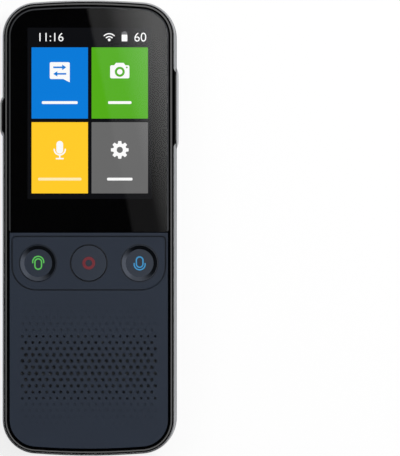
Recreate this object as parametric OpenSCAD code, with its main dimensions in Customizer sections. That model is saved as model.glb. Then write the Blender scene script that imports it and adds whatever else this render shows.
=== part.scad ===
// Handheld voice translator: a slim bar with a colour display, three round
// front keys over a speaker grille, side keys and a rear camera.
// It lies on its back: +Z out of the display, +Y to the top end, +X to the
// right of someone facing the display. Millimetres.

/* [Body] */
// Overall length, end to end
body_length = 133.2; // [130:0.1:160]
// Overall width across the sides, without the side keys
body_width = 51; // [50:0.5:64]
// Thickness from the crest of the camera ring to the crest of the front rim
body_height = 13; // [12.9:0.1:16]
// Distance between the centres of an end arc and of the corner arcs beside it
end_arc_run = 200; // [190:5:205]

/* [Rear shell] */
// Wall thickness of the shell
wall = 1.2; // [1:0.05:1.5]
// Radius of the tighter curve where the back meets a side
back_edge_r = 4.2; // [3.4:0.1:4.4]
// How much larger the radius of the shallow outer curve of the back is
back_crown_run = 15; // [12:1:15]
// Radius of the slight bulge of the sides, from the edge of the back to the lip
side_bulge_r = 53; // [45:1:200]
// Radius that rounds the lip of the shell
lip_r = 0.48; // [0.3:0.02:0.5]
// Depth of the lip below the crest of the front rim
lip_drop = 0.85; // [0.6:0.05:1.2]

/* [Front frame] */
// Width of the shadow groove between the shell's lip and the rim
shadow_gap = 0.45; // [0.3:0.05:0.6]
// Depth of that groove
shadow_depth = 0.95; // [0.6:0.05:1.2]
// Width of the rim round the front
rim_w = 0.5; // [0.4:0.05:0.8]
// Chamfer on the outer edge of the rim
rim_chamfer = 0.35; // [0.1:0.05:0.35]
// Gap between the rim and the glass or the panel inside it
front_gap = 0.5; // [0.2:0.05:0.6]
// Thickness of the ledge that carries the glass and the panel
ledge_t = 0.5; // [0.4:0.05:0.8]
// How far down the skirt of the frame reaches inside the shell
skirt_h = 5.8; // [4:0.1:6.2]
// Clearance between the skirt and the shell
skirt_gap = 0.1; // [0.05:0.05:0.2]

/* [Display] */
// Thickness of the cover glass
glass_t = 1; // [0.7:0.1:1.1]
// How far the glass and the panel lie below the crest of the rim
front_recess = 0.2; // [0.05:0.05:0.3]
// Bevel round the front edge of the glass
glass_bevel = 0.45; // [0.1:0.05:0.5]
// Radius of the lower corners of the glass
glass_corner_r = 0.8; // [0.2:0.1:2]
// Distance from the top end to the lower edge of the glass
glass_bottom = 67.7; // [66.5:0.1:69]
// Width of the display module
lcd_w = 40.4; // [38:0.1:41]
// Length of the display module
lcd_h = 59.5; // [56:0.1:59.6]
// Distance from the top end to the upper edge of the display module
lcd_top = 6.2; // [5.9:0.1:6.6]
// Thickness of the liquid crystal cell
lcd_cell_t = 1.1; // [0.9:0.1:1.3]
// Thickness of the backlight
backlight_t = 1; // [0.8:0.1:1.2]

/* [Front keys] */
// Diameter of a front key
key_d = 10.5; // [8.6:0.1:12.6]
// Gap all round a front key
key_gap = 0.25; // [0.15:0.05:0.35]
// Distance between the centres of neighbouring front keys
key_pitch = 14.75; // [14:0.05:15.5]
// Distance from the lower edge of the glass to the centres of the keys
key_drop = 9.1; // [8.4:0.1:9.4]
// Diameter of the flat floor of the two dished keys
dish_d = 8.1; // [6:0.1:8.6]
// Depth of the dish
dish_depth = 0.8; // [0.3:0.05:0.8]
// Travel of a front key
key_travel = 0.4; // [0.2:0.05:0.4]
// Height of the key plate, from its upper to its lower edge
key_plate_h = 15.15; // [14.6:0.05:17]
// Radius of the lower corners of the key plate
key_plate_r = 6.8; // [4:0.1:7]

/* [Speaker grille] */
// Holes in the longest row of the grille
grille_columns = 20; // [12:1:20]
// Rows of open holes
grille_rows = 11; // [5:2:11]
// Distance from the lower edge of the glass to the middle row
grille_drop = 39.35; // [38.5:0.05:40]
// Rows of shallow dimples above and below the holes
dimple_rows = 6; // [0:1:6]
// Distance between neighbouring holes of a row
grille_pitch = 2.03; // [1.8:0.01:2.1]
// Distance between neighbouring rows
row_pitch = 1.8; // [1.6:0.01:1.85]
// Diameter of the holes in the first and the last row
hole_min_d = 0.72; // [0.4:0.02:0.8]
// Diameter of the holes in the middle row
hole_max_d = 1.16; // [0.8:0.02:1.3]
// Depth of the dimples next to the holes, less in every further row
dimple_depth = 0.22; // [0.05:0.01:0.3]

/* [Side keys] */
// Length of the volume rocker
rocker_l = 23.6; // [18:0.1:24]
// Length of the power button
power_l = 11.5; // [8:0.1:12]
// Height of both side keys, across the thickness of the body
side_key_h = 4.8; // [3.6:0.1:4.8]
// How far the crown of the volume rocker stands out
rocker_proud = 0.62; // [0.3:0.02:0.9]
// How far the crown of the power button stands out
power_proud = 0.83; // [0.3:0.01:0.9]
// Distance from the top end to the middle of the volume rocker
rocker_drop = 31.6; // [30:0.1:34]
// Distance from the top end to the middle of the power button
power_drop = 34; // [30:0.1:36]
// Gap between a side key and its slot in the shell
side_gap = 0.14; // [0.1:0.01:0.2]
// Tilt of the volume rocker to either side, in degrees
rocker_tilt = 1.6; // [1:0.1:1.6]
// Travel of the power button
power_travel = 0.3; // [0.2:0.05:0.35]

/* [Camera] */
// Outer diameter of the raised camera ring
ring_d = 20.9; // [18:0.1:21]
// Diameter of the crest of the ring
crest_d = 18.2; // [17.4:0.1:18.4]
// Diameter of the round window
window_d = 16.8; // [14:0.1:16.8]
// Thickness of the window
window_t = 0.8; // [0.6:0.1:0.9]
// How far the window lies below the crest
window_recess = 0.35; // [0.1:0.05:0.4]
// How far the crest stands out from the back
ring_proud = 0.6; // [0.4:0.05:0.9]
// Distance from the top end to the centre of the ring
ring_drop = 15.3; // [15:0.1:18]
// Diameter of the lens barrel
lens_d = 5.7; // [4:0.1:6]
// Diameter of the flash lens
flash_d = 4.4; // [3:0.1:4.6]
// Sideways distance of the lens from the centre of the ring
lens_x = 3.2; // [3:0.1:3.6]
// Sideways distance of the flash from the centre of the ring
flash_x = 4.5; // [4:0.1:4.8]

/* [USB port] */
// Width of the receptacle, outside
usb_w = 8.94; // [8.9:0.01:9]
// Height of the receptacle, outside
usb_h = 3.26; // [3.2:0.01:3.3]
// Depth of the receptacle
usb_l = 7.3; // [6.5:0.1:8]
// Sheet thickness of the receptacle
usb_sheet = 0.3; // [0.25:0.01:0.35]
// Gap round the receptacle in the end wall
usb_gap = 0.27; // [0.15:0.01:0.4]

/* [Inside] */
// Thickness of the circuit boards
board_t = 1; // [0.8:0.1:1]
// Gap between the sides of the body and the main board
board_inset = 4.5; // [4.4:0.1:5]
// Width of the battery
battery_w = 34; // [28:1:34]
// Length of the battery
battery_l = 50; // [40:1:50]
// Thickness of the battery
battery_t = 4.2; // [3:0.1:4.2]
// Width of the speaker
speaker_w = 30; // [24:1:31]
// Length of the speaker
speaker_l = 20; // [16:1:21]
// Thickness of the speaker
speaker_t = 3.9; // [3:0.1:4]

/* [Hidden] */
$fn = 64;

black = "#17191c";
slate = "#31373f";
shell_blue = "#23292f";
steel = "#a8abb0";
board_green = "#1f4a35";
foam = "#303030";
amber = "#b06a24";

// The end arcs meet the corner arcs along a direction whose sine and cosine
// are the sides of a right triangle in whole numbers, (237, 3116, 3125), and
// the two curves of the back meet along (44, 117, 125). The centres then have
// short decimal coordinates, and neighbouring pieces meet face to face.
end_turn = [237, 3116] / 3125;
back_turn = [44, 117] / 125;

// Plan outline
side_x = body_width / 2;
top_y = body_length / 2;
corner_x = end_arc_run * end_turn.x;
corner_r = side_x - corner_x;
end_r = end_arc_run + corner_r;
end_y = top_y - end_r;
corner_y = end_y + end_arc_run * end_turn.y;
end_fn = 720;
corner_fn = 96;
far = 50;

// Cutters reach past what they cut, and solids of one piece into each other
clear = 1;
weld = 0.1;

// Section of the shell: u runs inwards from the side, z upwards
back_z = ring_proud;
floor_z = back_z + wall;
axis_margin = 0.3;
crown_run = min(back_crown_run,
                floor((corner_r - axis_margin - back_edge_r) / back_turn.x));
crown_r = back_edge_r + crown_run;
back_zone = back_edge_r + crown_run * back_turn.x;
edge_z = back_z + crown_r - crown_run * back_turn.y;
lip_w = wall + skirt_gap - shadow_gap;
lip_flat = 0.05;
lip_z = body_height - lip_drop;
rebate_z = lip_z - shadow_depth;

// Front frame, glass and panel
rim_u = wall + skirt_gap;
skirt_t = 0.9;
skirt_u = rim_u + skirt_t;
foot_u = lip_w + skirt_gap;
foot_t = 0.3;
ledge_w = 2.15;
ledge_u = rim_u + rim_w + ledge_w;
front_u = rim_u + rim_w + front_gap;
edge_w = 1;
front_z = body_height - front_recess;
panel_t = 1.25;
ledge_z = front_z - panel_t;
ledge_bottom = ledge_z - ledge_t;
skirt_z = body_height - skirt_h;
window_gap = 0.25;
glass_y = top_y - glass_bottom;
glass_z = front_z - glass_t;
part_gap = 0.3;
panel_y = glass_y - part_gap;
panel_bevel = 0.25;
bond_t = 0.1;

// Display stack, from the glass down
lcd_y = top_y - lcd_top;
lcd_sink = 0.05;
lcd_z = ledge_z - lcd_sink;
lcd_gap = 0.3;
backlight_z = lcd_z - lcd_cell_t - backlight_t;
bracket_t = 0.4;
bracket_z = backlight_z - bracket_t;
bracket_hole_r = 5;
bracket_hole_pitch = 18;
bar_t = ledge_t + 0.75;
bar_y = lcd_y - lcd_h - lcd_gap;
ribbon_w = 14;
ribbon_t = 0.15;
socket_w = 15;
socket_l = 2.2;
socket_h = 0.4;
socket_top = glass_y - 0.1;

// Front keys
key_y = glass_y - key_drop;
key_xs = [-key_pitch, 0, key_pitch];
key_r = key_d / 2;
key_hole_r = key_r + key_gap;
key_plate_t = 0.7;
key_plate_z = front_z - key_plate_t;
plate_gap = 0.4;
panel_strip = 0.85;
plate_margin = 1.1;
key_plate_top = panel_y - panel_strip - plate_gap;
key_plate_x = side_x - front_u - plate_margin;
key_plate_top_r = 1;
flange_gap = 0.1;
flange_z = ledge_z - flange_gap;
flange_t = 0.5;
flange_w = 0.85;
nib_h = 0.45;
nib_r = 1.5;
stem_z = flange_z - flange_t - nib_h;
flange_r = key_r + flange_w;
flange_room = 0.3;
pocket_gap = 0.2;
bar_low = key_y + flange_r + flange_room;
lower_bar_y = key_plate_top - key_plate_h - 1.6;
lower_bar_w = 2.5;

// Boards
board_gap = 0.1;
board_z = bracket_z - board_gap - board_t;
board_face = board_z + board_t;
board_x = side_x - board_inset;
board_top = top_y - 2.6;
board_bottom = glass_y - 21;
board_u = skirt_u + 2 * board_gap;
switch_h = 1.1;
switch_w = 4.5;
stem_r = 1;
stem_gap = 0.12;
stem_room = 0.15;
stem_depth = key_travel + stem_room;
boss_x = 14;
boss_y = top_y - skirt_u - 1.9;
boss_r = 1.5;
boss_foot_y = lower_bar_y - lower_bar_w / 2;
screw_r = 0.7;
screw_head_r = 1.3;
screw_head_h = 0.6;
screw_grip = 1.5;
screw_hole_r = screw_r + 0.15;
socket_hex_r = 0.5;
fit = 0.03;

// Side keys: the slot runs through the upright part of the shell's side
side_key_z = (edge_z + rebate_z) / 2;
rocker_y = top_y - rocker_drop;
power_y = top_y - power_drop;
side_flange_over = 0.9;
side_flange_t = 0.5;
rocker_swing = (rocker_l / 2 + side_flange_over) * sin(rocker_tilt);
rocker_flange_x = side_x - wall - ceil(20 * rocker_swing) / 20 - 0.05;
power_flange_x = side_x - wall - 0.1;
pivot_r = 0.8;
pivot_gap = 0.05;
pivot_x = rocker_flange_x - side_flange_t - pivot_r + 0.5;
pivot_h = 4;
volume_arm = 6.5;
push_z = board_z - 0.75;
side_nib_x = side_x - 3.1;
side_stem_x = side_nib_x - 1.5;
side_stem_r = 0.6;
side_nib_r = 0.8;
side_switch_x = side_nib_x - 0.7;
side_switch_l = 2.5;
side_switch_w = 3.5;
side_switch_h = 1.5;
post_w = 3.2;
post_back = 1.8;

// Speaker grille
grille_y = glass_y - grille_drop;
mesh_t = 0.12;
gasket_t = 0.6;
speaker_z = ledge_z - mesh_t - gasket_t - speaker_t;
speaker_rim = 1.4;
magnet_r = 7;
magnet_t = 1.6;
magnet_sink = 0.4;
speaker_gap = 0.3;
bay_t = 0.8;
bay_z = speaker_z + 1.4;
bay_web_w = 4;

// Camera: z is measured from the crest of the ring, which is at 0
ring_y = top_y - ring_drop;
ring_r = ring_d / 2;
crest_r = crest_d / 2;
window_r = window_d / 2;
ring_seat_z = back_z + 0.9;
ring_ledge_r = window_r - 1.4;
window_z = window_recess + window_t;
opening_r = window_r + 0.5;
camera_boss_w = 1;
camera_boss_h = 1.2;
mask_gap = 0.05;
mask_z = ring_seat_z + mask_gap;
mask_t = 0.7;
lens_z = window_z + 0.1;
module_z = lens_z + 2;
module_w = 8.5;
module_dy = 0.4;
mic_hole_r = 0.3;
mic_ring_r = window_r - 0.65;
mic_h = 1;
light_pipe_r = 1.2;
led_w = 1.8;
led_h = 0.7;

// Ports at the bottom end
usb_z = side_key_z - 0.8;
usb_y = -top_y + 0.3;
port_board_t = 0.8;
port_board_z = usb_z - usb_h / 2 - port_board_t;
port_board_y = -top_y + 14;
port_board_x = 18;
port_screw_x = 14;
port_screw_y = -top_y + 9.5;
port_boss_r = 2;
port_face = port_board_z + port_board_t;
port_back = 0.8;
port_notch_over = 1.2;
port_notch_y = -top_y + 4;
tongue_w = 6.7;
tongue_t = 0.7;
contact_pitch = 0.5;
mic_x = 9;
mic_w = 3.5;
mic_bore_r = 0.5;
mic_boot_w = 3.8;
mic_boot_y = -top_y + 4.2;

// Battery, on the inside of the back
battery_y = glass_y + 13.3;
battery_gap = 0.4;
battery_corner_r = 1.5;
rib_t = 0.8;
rib_h = 1.6;
rib_l = 12;
rib_inset = 7;
tape_h = 0.2;
lead_r = 0.45;
lead_pitch = 2.4;
plug_y = battery_y - battery_l / 2 - 4.5;

// Catches along the sides
catch_r = 0.3;
catch_l = 8;
catch_gap = 0.08;
catch_ys = [-46, -22, 6];
catch_z = skirt_z + 1.1;

// Parts on the rear face of the main board
chip_y = 20;
processor_x = -8;
radio_x = 9;
can_h = 1.1;
can_t = 0.2;

// ---------------------------------------------------------------- helpers

module both_sides() {
    children();
    mirror([1, 0, 0]) children();
}

module both_ends() {
    children();
    mirror([0, 1, 0]) children();
}

module slab(z0, z1) {
    translate([0, 0, z0]) linear_extrude(z1 - z0) children();
}

module block(x0, x1, y0, y1, z0, z1) {
    translate([x0, y0, z0]) cube([x1 - x0, y1 - y0, z1 - z0]);
}

module centred_block(x, y, w, l, z0, z1) {
    block(x - w / 2, x + w / 2, y - l / 2, y + l / 2, z0, z1);
}

// Plan outline of the body, moved inwards by u
module outline(u = 0) {
    square([2 * (side_x - u), 2 * corner_y], center = true);
    both_ends() {
        translate([0, end_y]) intersection() {
            circle(end_r - u, $fn = end_fn);
            end_wedge();
        }
        both_sides() translate([corner_x, corner_y]) intersection() {
            circle(corner_r - u, $fn = corner_fn);
            corner_wedge();
        }
    }
}

// The sector that an end arc covers, cut off level with the corner centres
module end_wedge() {
    near = end_arc_run * end_turn;
    outer = (end_arc_run + far) * end_turn;
    polygon([[-near.x, near.y], near, outer, [-outer.x, outer.y]]);
}

// The sector that a corner arc covers, from the side to the end arc
module corner_wedge() {
    polygon([[0, 0], [far, 0], [far, far * end_turn.y], far * end_turn]);
}

// Sweeps a section drawn in (u, z) once round the outline
module round_outline() {
    both_sides()
        translate([0, corner_y, 0]) rotate([90, 0, 0])
            linear_extrude(2 * corner_y)
                translate([side_x, 0]) mirror([1, 0]) children();
    both_ends() {
        translate([0, end_y, 0]) intersection() {
            rotate([0, 0, 180]) rotate_extrude($fn = end_fn)
                translate([end_r, 0]) mirror([1, 0]) children();
            slab(-clear, body_height + clear) end_wedge();
        }
        both_sides() translate([corner_x, corner_y, 0]) intersection() {
            rotate([0, 0, 180]) rotate_extrude($fn = corner_fn)
                translate([corner_r, 0]) mirror([1, 0]) children();
            slab(-clear, body_height + clear) corner_wedge();
        }
    }
}

// Rectangle from (x0, y0) to (x1, y1) with its own radius at each end
module round_rect(x0, x1, y0, y1, r_low, r_high) {
    polygon([
        [x0 + r_low, y0], [x1 - r_low, y0], [x1 - r_low, y0 + r_low],
        [x1, y0 + r_low], [x1, y1 - r_high], [x1 - r_high, y1 - r_high],
        [x1 - r_high, y1], [x0 + r_high, y1], [x0 + r_high, y1 - r_high],
        [x0, y1 - r_high], [x0, y0 + r_low], [x0 + r_low, y0 + r_low],
    ]);
    for (side = [-1, 1]) {
        x_low = side < 0 ? x0 + r_low : x1 - r_low;
        x_high = side < 0 ? x0 + r_high : x1 - r_high;
        translate([x_low, y0 + r_low]) quarter(r_low, side, -1);
        translate([x_high, y1 - r_high]) quarter(r_high, side, 1);
    }
}

module quarter(r, sx, sy) {
    intersection() {
        circle(r);
        translate([sx * r / 2, sy * r / 2]) square(r, center = true);
    }
}

module centred_round_rect(w, l, r) {
    round_rect(-w / 2, w / 2, -l / 2, l / 2, r, r);
}

// A slot with round ends, standing in the plane across X
module side_slot(l, h, x0, x1) {
    translate([x0, 0, 0]) rotate([90, 0, 90])
        linear_extrude(x1 - x0) round_rect(-l / 2, l / 2, -h / 2, h / 2,
                                           h / 2, h / 2);
}

// ------------------------------------------------------------- rear shell

// Section of the wall: shallow curve, tight curve, bulging side, thin lip
module wall_section() {
    turn = far * back_turn;
    translate([back_zone, back_z + crown_r]) intersection() {
        difference() {
            circle(crown_r, $fn = 192);
            circle(crown_r - wall, $fn = 192);
        }
        polygon([[0, 0], [-turn.x, -turn.y], [-turn.x, -far], [0, -far]]);
    }
    translate([back_edge_r, edge_z]) intersection() {
        difference() {
            circle(back_edge_r, $fn = 96);
            circle(back_edge_r - wall, $fn = 96);
        }
        polygon([[0, 0], [-far, 0], [-far, -turn.y], [-turn.x, -turn.y]]);
    }
    intersection() {
        translate([side_bulge_r, edge_z]) circle(side_bulge_r, $fn = 1440);
        union() {
            translate([0, edge_z]) square([wall, rebate_z - edge_z]);
            translate([0, rebate_z])
                square([lip_w, lip_z - lip_r - rebate_z]);
            translate([lip_w - lip_flat, lip_z - lip_r]) {
                quarter(lip_r, -1, 1);
                square([lip_flat, lip_r]);
            }
        }
    }
}

module rear_shell() {
    color(shell_blue) difference() {
        union() {
            round_outline() wall_section();
            slab(back_z, floor_z) outline(back_zone);
            camera_boss();
            battery_ribs();
            port_bosses();
            catches(catch_r);
        }
        camera_cuts();
        side_key_slots();
        port_cuts();
    }
}

// Thick ring inside the back that carries the camera ring
module camera_boss() {
    translate([0, ring_y, floor_z - weld])
        cylinder(r = ring_r + camera_boss_w, h = camera_boss_h);
}

module camera_cuts() {
    translate([0, ring_y, -clear])
        cylinder(r = ring_r + fit, h = ring_seat_z + clear);
    translate([0, ring_y, 0])
        cylinder(r = opening_r, h = floor_z + camera_boss_h + clear);
}

// Low walls that hold the battery on three sides
module battery_ribs() {
    x = battery_w / 2 + battery_gap;
    y = battery_l / 2 + battery_gap;
    translate([0, battery_y, 0]) {
        both_sides()
            for (end = [-1, 1])
                centred_block(x + rib_t / 2, end * (y - rib_inset), rib_t,
                              rib_l, floor_z - weld, floor_z + rib_h);
        centred_block(0, -y - rib_t / 2, rib_l, rib_t, floor_z - weld,
                      floor_z + rib_h);
    }
}

// Two posts that carry the port board, bored for its screws
module port_bosses() {
    both_sides() translate([port_screw_x, port_screw_y, 0]) difference() {
        slab(floor_z - weld, port_board_z) circle(port_boss_r);
        slab(floor_z + rib_t, port_board_z + clear) circle(screw_r + fit);
    }
}

// Half round ridges on the inner walls that snap into the frame's skirt
module catches(r) {
    both_sides() for (y = catch_ys)
        translate([side_x - wall, y + catch_l / 2, catch_z])
            rotate([90, 0, 0]) cylinder(r = r, h = catch_l);
}

module side_key_slots() {
    translate([0, rocker_y, side_key_z])
        side_slot(rocker_l + 2 * side_gap, side_key_h + 2 * side_gap,
                  side_x - wall - clear, side_x + clear);
    translate([0, power_y, side_key_z])
        side_slot(power_l + 2 * side_gap, side_key_h + 2 * side_gap,
                  -side_x - clear, -side_x + wall + clear);
}

module port_cuts() {
    deep = 3;
    translate([0, -top_y + deep, usb_z]) rotate([90, 0, 0])
        linear_extrude(2 * deep)
            centred_round_rect(usb_w + 2 * usb_gap, usb_h + 2 * usb_gap,
                               usb_h / 2);
    translate([mic_x, -top_y + deep, usb_z]) rotate([90, 0, 0])
        cylinder(r = mic_bore_r, h = 2 * deep);
}

// ------------------------------------------------------------ front frame

// Skirt, ledge and rim, with a foot in the groove that rests on the shell
module frame_section() {
    polygon([
        [rim_u, skirt_z], [skirt_u, skirt_z], [skirt_u, ledge_bottom],
        [ledge_u, ledge_bottom], [ledge_u, ledge_z],
        [rim_u + rim_w, ledge_z], [rim_u + rim_w, body_height],
        [rim_u + rim_chamfer, body_height],
        [rim_u, body_height - rim_chamfer],
        [rim_u, rebate_z + foot_t], [foot_u, rebate_z + foot_t],
        [foot_u, rebate_z], [rim_u, rebate_z],
    ]);
}

module front_frame() {
    color(black) difference() {
        union() {
            round_outline() frame_section();
            cross_bars();
            board_bosses();
            speaker_bay();
            rocker_post();
        }
        frame_notches();
        slab(bracket_z, ledge_z + clear) lcd_plan(window_gap);
        key_pockets();
        catches(catch_r + catch_gap);
        boss_bores();
    }
}

// Rounds kept free in the ledge where the flanges of the outer keys move
module key_pockets() {
    both_sides() translate([key_pitch, key_y])
        slab(board_face, ledge_z + clear) circle(flange_r + pocket_gap);
}

// Bars across the frame under the edges of the glass and of the key plate
module cross_bars() {
    reach = side_x - skirt_u + weld;
    block(-reach, reach, bar_low, bar_y, ledge_z - bar_t, ledge_z);
    block(-reach, reach, lower_bar_y - lower_bar_w, lower_bar_y,
          ledge_z - bar_t, ledge_z);
}

module board_bosses() {
    both_sides() for (y = [boss_y, boss_foot_y])
        translate([boss_x, y, board_face])
            cylinder(r = boss_r, h = ledge_z - weld - board_face);
}

module boss_bores() {
    both_sides() for (y = [boss_y, boss_foot_y])
        translate([boss_x, y, board_z])
            cylinder(r = screw_r + fit, h = board_t + screw_grip + weld);
}

// Open box that holds the speaker, tied to the sides by two webs
module speaker_bay() {
    w = speaker_w + 2 * speaker_gap;
    l = speaker_l + 2 * speaker_gap;
    corner = 1.2;
    top = ledge_z - mesh_t;
    translate([0, grille_y, 0]) {
        slab(bay_z, top) difference() {
            centred_round_rect(w + 2 * bay_t, l + 2 * bay_t, corner + bay_t);
            centred_round_rect(w, l, corner);
        }
        both_sides()
            block(w / 2 + bay_t - weld, side_x - skirt_u + weld,
                  -bay_web_w / 2, bay_web_w / 2, ledge_bottom - bay_t / 2,
                  top);
    }
}

// Post behind the rocker with the half round seat that it rocks in
module rocker_post() {
    low = side_key_z - pivot_h / 2;
    difference() {
        block(side_x - skirt_u - post_back, pivot_x, rocker_y - post_w / 2,
              rocker_y + post_w / 2, low, ledge_bottom + weld);
        translate([pivot_x, rocker_y, low - clear])
            cylinder(r = pivot_r + pivot_gap, h = pivot_h + 2 * weld + clear);
    }
}

// The skirt stops short of the side keys and of the port
module frame_notches() {
    over = side_flange_over + 0.5;
    inner = side_x - skirt_u - 0.05;
    low = skirt_z - clear;
    high = max(ledge_bottom, side_key_z + side_key_h / 2 + side_gap);
    block(inner, side_x, rocker_y - rocker_l / 2 - over,
          rocker_y + rocker_l / 2 + over, low, high);
    block(-side_x, -inner, power_y - power_l / 2 - over,
          power_y + power_l / 2 + over, low, high);
    block(-usb_w / 2 - port_notch_over, mic_x + mic_w / 2 + port_notch_over,
          -top_y, port_notch_y, low, usb_z + usb_h / 2 + port_notch_over / 2);
}

// ---------------------------------------------------------------- display

// Section of a plate's edge with a bevel, from the edge to past the bevel
module edge_section(z0, z1, bevel) {
    polygon([
        [front_u, z0], [front_u + edge_w, z0], [front_u + edge_w, z1],
        [front_u + bevel, z1], [front_u, z1 - bevel],
    ]);
}

// Plate that follows the outline inside the rim
module front_plate(z0, z1, bevel) {
    round_outline() edge_section(z0, z1, bevel);
    slab(z0, z1) outline(front_u + edge_w);
}

module cover_glass() {
    color("#0a0b0d") intersection() {
        front_plate(glass_z, front_z, glass_bevel);
        slab(0, body_height)
            round_rect(front_u - side_x, side_x - front_u, glass_y,
                       top_y + clear, glass_corner_r, clear);
    }
}

// Adhesive frame between the glass and the ledge
module glass_tape() {
    margin = 0.35;
    color(foam) slab(ledge_z, glass_z) difference() {
        intersection() {
            outline(front_u + margin);
            translate([-side_x, glass_y + margin])
                square([2 * side_x, top_y]);
        }
        lcd_plan(window_gap - weld);
    }
}

module lcd_plan(over) {
    translate([-lcd_w / 2 - over, lcd_y - lcd_h - over])
        square([lcd_w + 2 * over, lcd_h + 2 * over]);
}

// Clear film under the glass, one layer of clear adhesive away from it
module touch_sensor() {
    color("#3a3f45") slab(lcd_z, glass_z - bond_t) lcd_plan(-0.7);
}

module lcd_cell() {
    color("#1c2a3a") slab(lcd_z - lcd_cell_t, lcd_z) lcd_plan(0);
}

// White light guide tray, a little smaller than the cell, with a lamp strip
module backlight() {
    strip_w = lcd_w - 6;
    strip_l = 3;
    strip_y = lcd_y - lcd_h + 3.1;
    color("#dfe3e6") difference() {
        slab(backlight_z, lcd_z - lcd_cell_t) lcd_plan(-0.1);
        centred_block(0, strip_y, strip_w, strip_l, backlight_z - clear,
                      backlight_z + 0.4);
    }
}

// Stamped plate behind the backlight, with three round holes
module display_bracket() {
    color(steel) difference() {
        slab(bracket_z, backlight_z) lcd_plan(-0.2);
        for (k = [-1, 0, 1])
            translate([0, lcd_y - lcd_h / 2 + k * bracket_hole_pitch,
                       bracket_z - clear])
                cylinder(r = bracket_hole_r, h = bracket_t + 2 * clear);
    }
}

// Ribbon from the backlight's lower edge down to its connector
module display_flex() {
    t = ribbon_t;
    x = ribbon_w / 2;
    z = lcd_z - lcd_cell_t - backlight_t / 2;
    low = board_face + socket_h;
    edge = lcd_y - lcd_h + 0.1;
    fold = glass_y + 0.7;
    color(amber) {
        block(-x, x, fold, edge, z - t, z);
        block(-x, x, fold, fold + t, low, z);
        block(-x, x, socket_top - 2, fold + t, low, low + t);
    }
}

module display_connector() {
    color("#e8e4d8")
        block(-socket_w / 2, socket_w / 2, socket_top - socket_l, socket_top,
              board_face, board_face + socket_h);
}

// ------------------------------------------------- front panel and keys

module key_holes(z0, z1) {
    for (x = key_xs)
        translate([x, key_y, z0])
            cylinder(r = key_hole_r, h = z1 - z0, $fn = 96);
}

module key_plate_plan(over) {
    round_rect(-key_plate_x - over, key_plate_x + over,
               key_plate_top - key_plate_h - over, key_plate_top + over,
               key_plate_r + over, key_plate_top_r + over);
}

// Diameter of the holes in row i, counted from the middle row
function hole_d(i) =
    hole_min_d + (hole_max_d - hole_min_d)
        * cos(90 * abs(i) / ((grille_rows - 1) / 2 + 0.001));

// Row i of the staggered pattern: the odd rows have one hole fewer
module grille_row(i) {
    full = (abs(i) + (grille_rows - 1) / 2) % 2 == 0;
    n = full ? grille_columns : grille_columns - 1;
    for (k = [0 : n - 1])
        translate([(k - (n - 1) / 2) * grille_pitch,
                   grille_y - i * row_pitch, 0])
            children();
}

module grille_holes() {
    half = (grille_rows - 1) / 2;
    for (i = [-half : half])
        grille_row(i)
            translate([0, 0, ledge_z - clear])
                cylinder(d = hole_d(i), h = panel_t + 2 * clear, $fn = 24);
}

// Shallow dimples that carry the pattern on and fade away from the holes
module dimples() {
    half = (grille_rows - 1) / 2;
    dimple_d = hole_min_d + 0.1;
    if (dimple_rows > 0)
        for (j = [1 : dimple_rows], end = [-1, 1]) {
            fade = 1 - (j - 1) / dimple_rows;
            depth = dimple_depth * fade;
            grille_row(end * (half + j))
                translate([0, 0, front_z - depth])
                    cylinder(d = dimple_d, h = depth + clear, $fn = 16);
        }
}

module front_panel() {
    color(slate) difference() {
        intersection() {
            front_plate(ledge_z, front_z, panel_bevel);
            block(-side_x, side_x, -top_y, panel_y, 0, body_height);
        }
        slab(key_plate_z, front_z + clear) key_plate_plan(plate_gap);
        key_holes(ledge_z - clear, front_z);
        grille_holes();
        dimples();
    }
}

module key_plate() {
    color(slate) difference() {
        slab(key_plate_z, front_z) key_plate_plan(0);
        key_holes(key_plate_z - clear, front_z + clear);
    }
}

// A key: cap through the plate, flange behind it and a nib on the switch
module key_body(dished) {
    rim = 0.12;
    edge = 0.15;
    top = front_z;
    floor_r = dish_d / 2;
    head = dished
        ? [[key_r, top], [key_r - rim, top], [floor_r, top - dish_depth],
           [0, top - dish_depth]]
        : [[key_r, top - edge], [key_r - edge, top], [0, top]];
    rotate_extrude($fn = 96) polygon(concat([
        [0, stem_z], [nib_r, stem_z], [nib_r, flange_z - flange_t],
        [flange_r, flange_z - flange_t], [flange_r, flange_z],
        [key_r, flange_z],
    ], head));
}

module key_left() {
    color(slate) translate([key_xs[0], key_y, 0]) key_body(true);
}

module key_centre() {
    color(slate) translate([key_xs[1], key_y, 0]) key_body(false);
}

module key_right() {
    color(slate) translate([key_xs[2], key_y, 0]) key_body(true);
}

// ------------------------------------------------------- front switches

module key_switch(x) {
    top = board_face + switch_h;
    color(black) translate([x, key_y, 0]) difference() {
        centred_block(0, 0, switch_w, switch_w, board_face, top);
        slab(board_face + 0.1, top + clear) circle(stem_r + stem_gap);
    }
}

module switch_stem(x) {
    z0 = board_face + switch_h - stem_depth;
    color("#b33a2e") translate([x, key_y, z0])
        cylinder(r = stem_r, h = stem_z - z0);
}

module left_key_switch() {
    key_switch(key_xs[0]);
}

module centre_key_switch() {
    key_switch(key_xs[1]);
}

module right_key_switch() {
    key_switch(key_xs[2]);
}

module left_switch_stem() {
    switch_stem(key_xs[0]);
}

module centre_switch_stem() {
    switch_stem(key_xs[1]);
}

module right_switch_stem() {
    switch_stem(key_xs[2]);
}

// ---------------------------------------------------------------- speaker

module grille_mesh() {
    margin = 1.2;
    w = (grille_columns - 1) * grille_pitch + 2 * margin;
    l = (grille_rows - 1) * row_pitch + 2 * margin;
    color("#202326") slab(ledge_z - mesh_t, ledge_z)
        translate([0, grille_y]) centred_round_rect(w, l, 1);
}

module speaker_gasket() {
    color(foam) slab(speaker_z + speaker_t, ledge_z - mesh_t)
        translate([0, grille_y]) difference() {
            centred_round_rect(speaker_w, speaker_l, 1);
            speaker_opening();
        }
}

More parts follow.
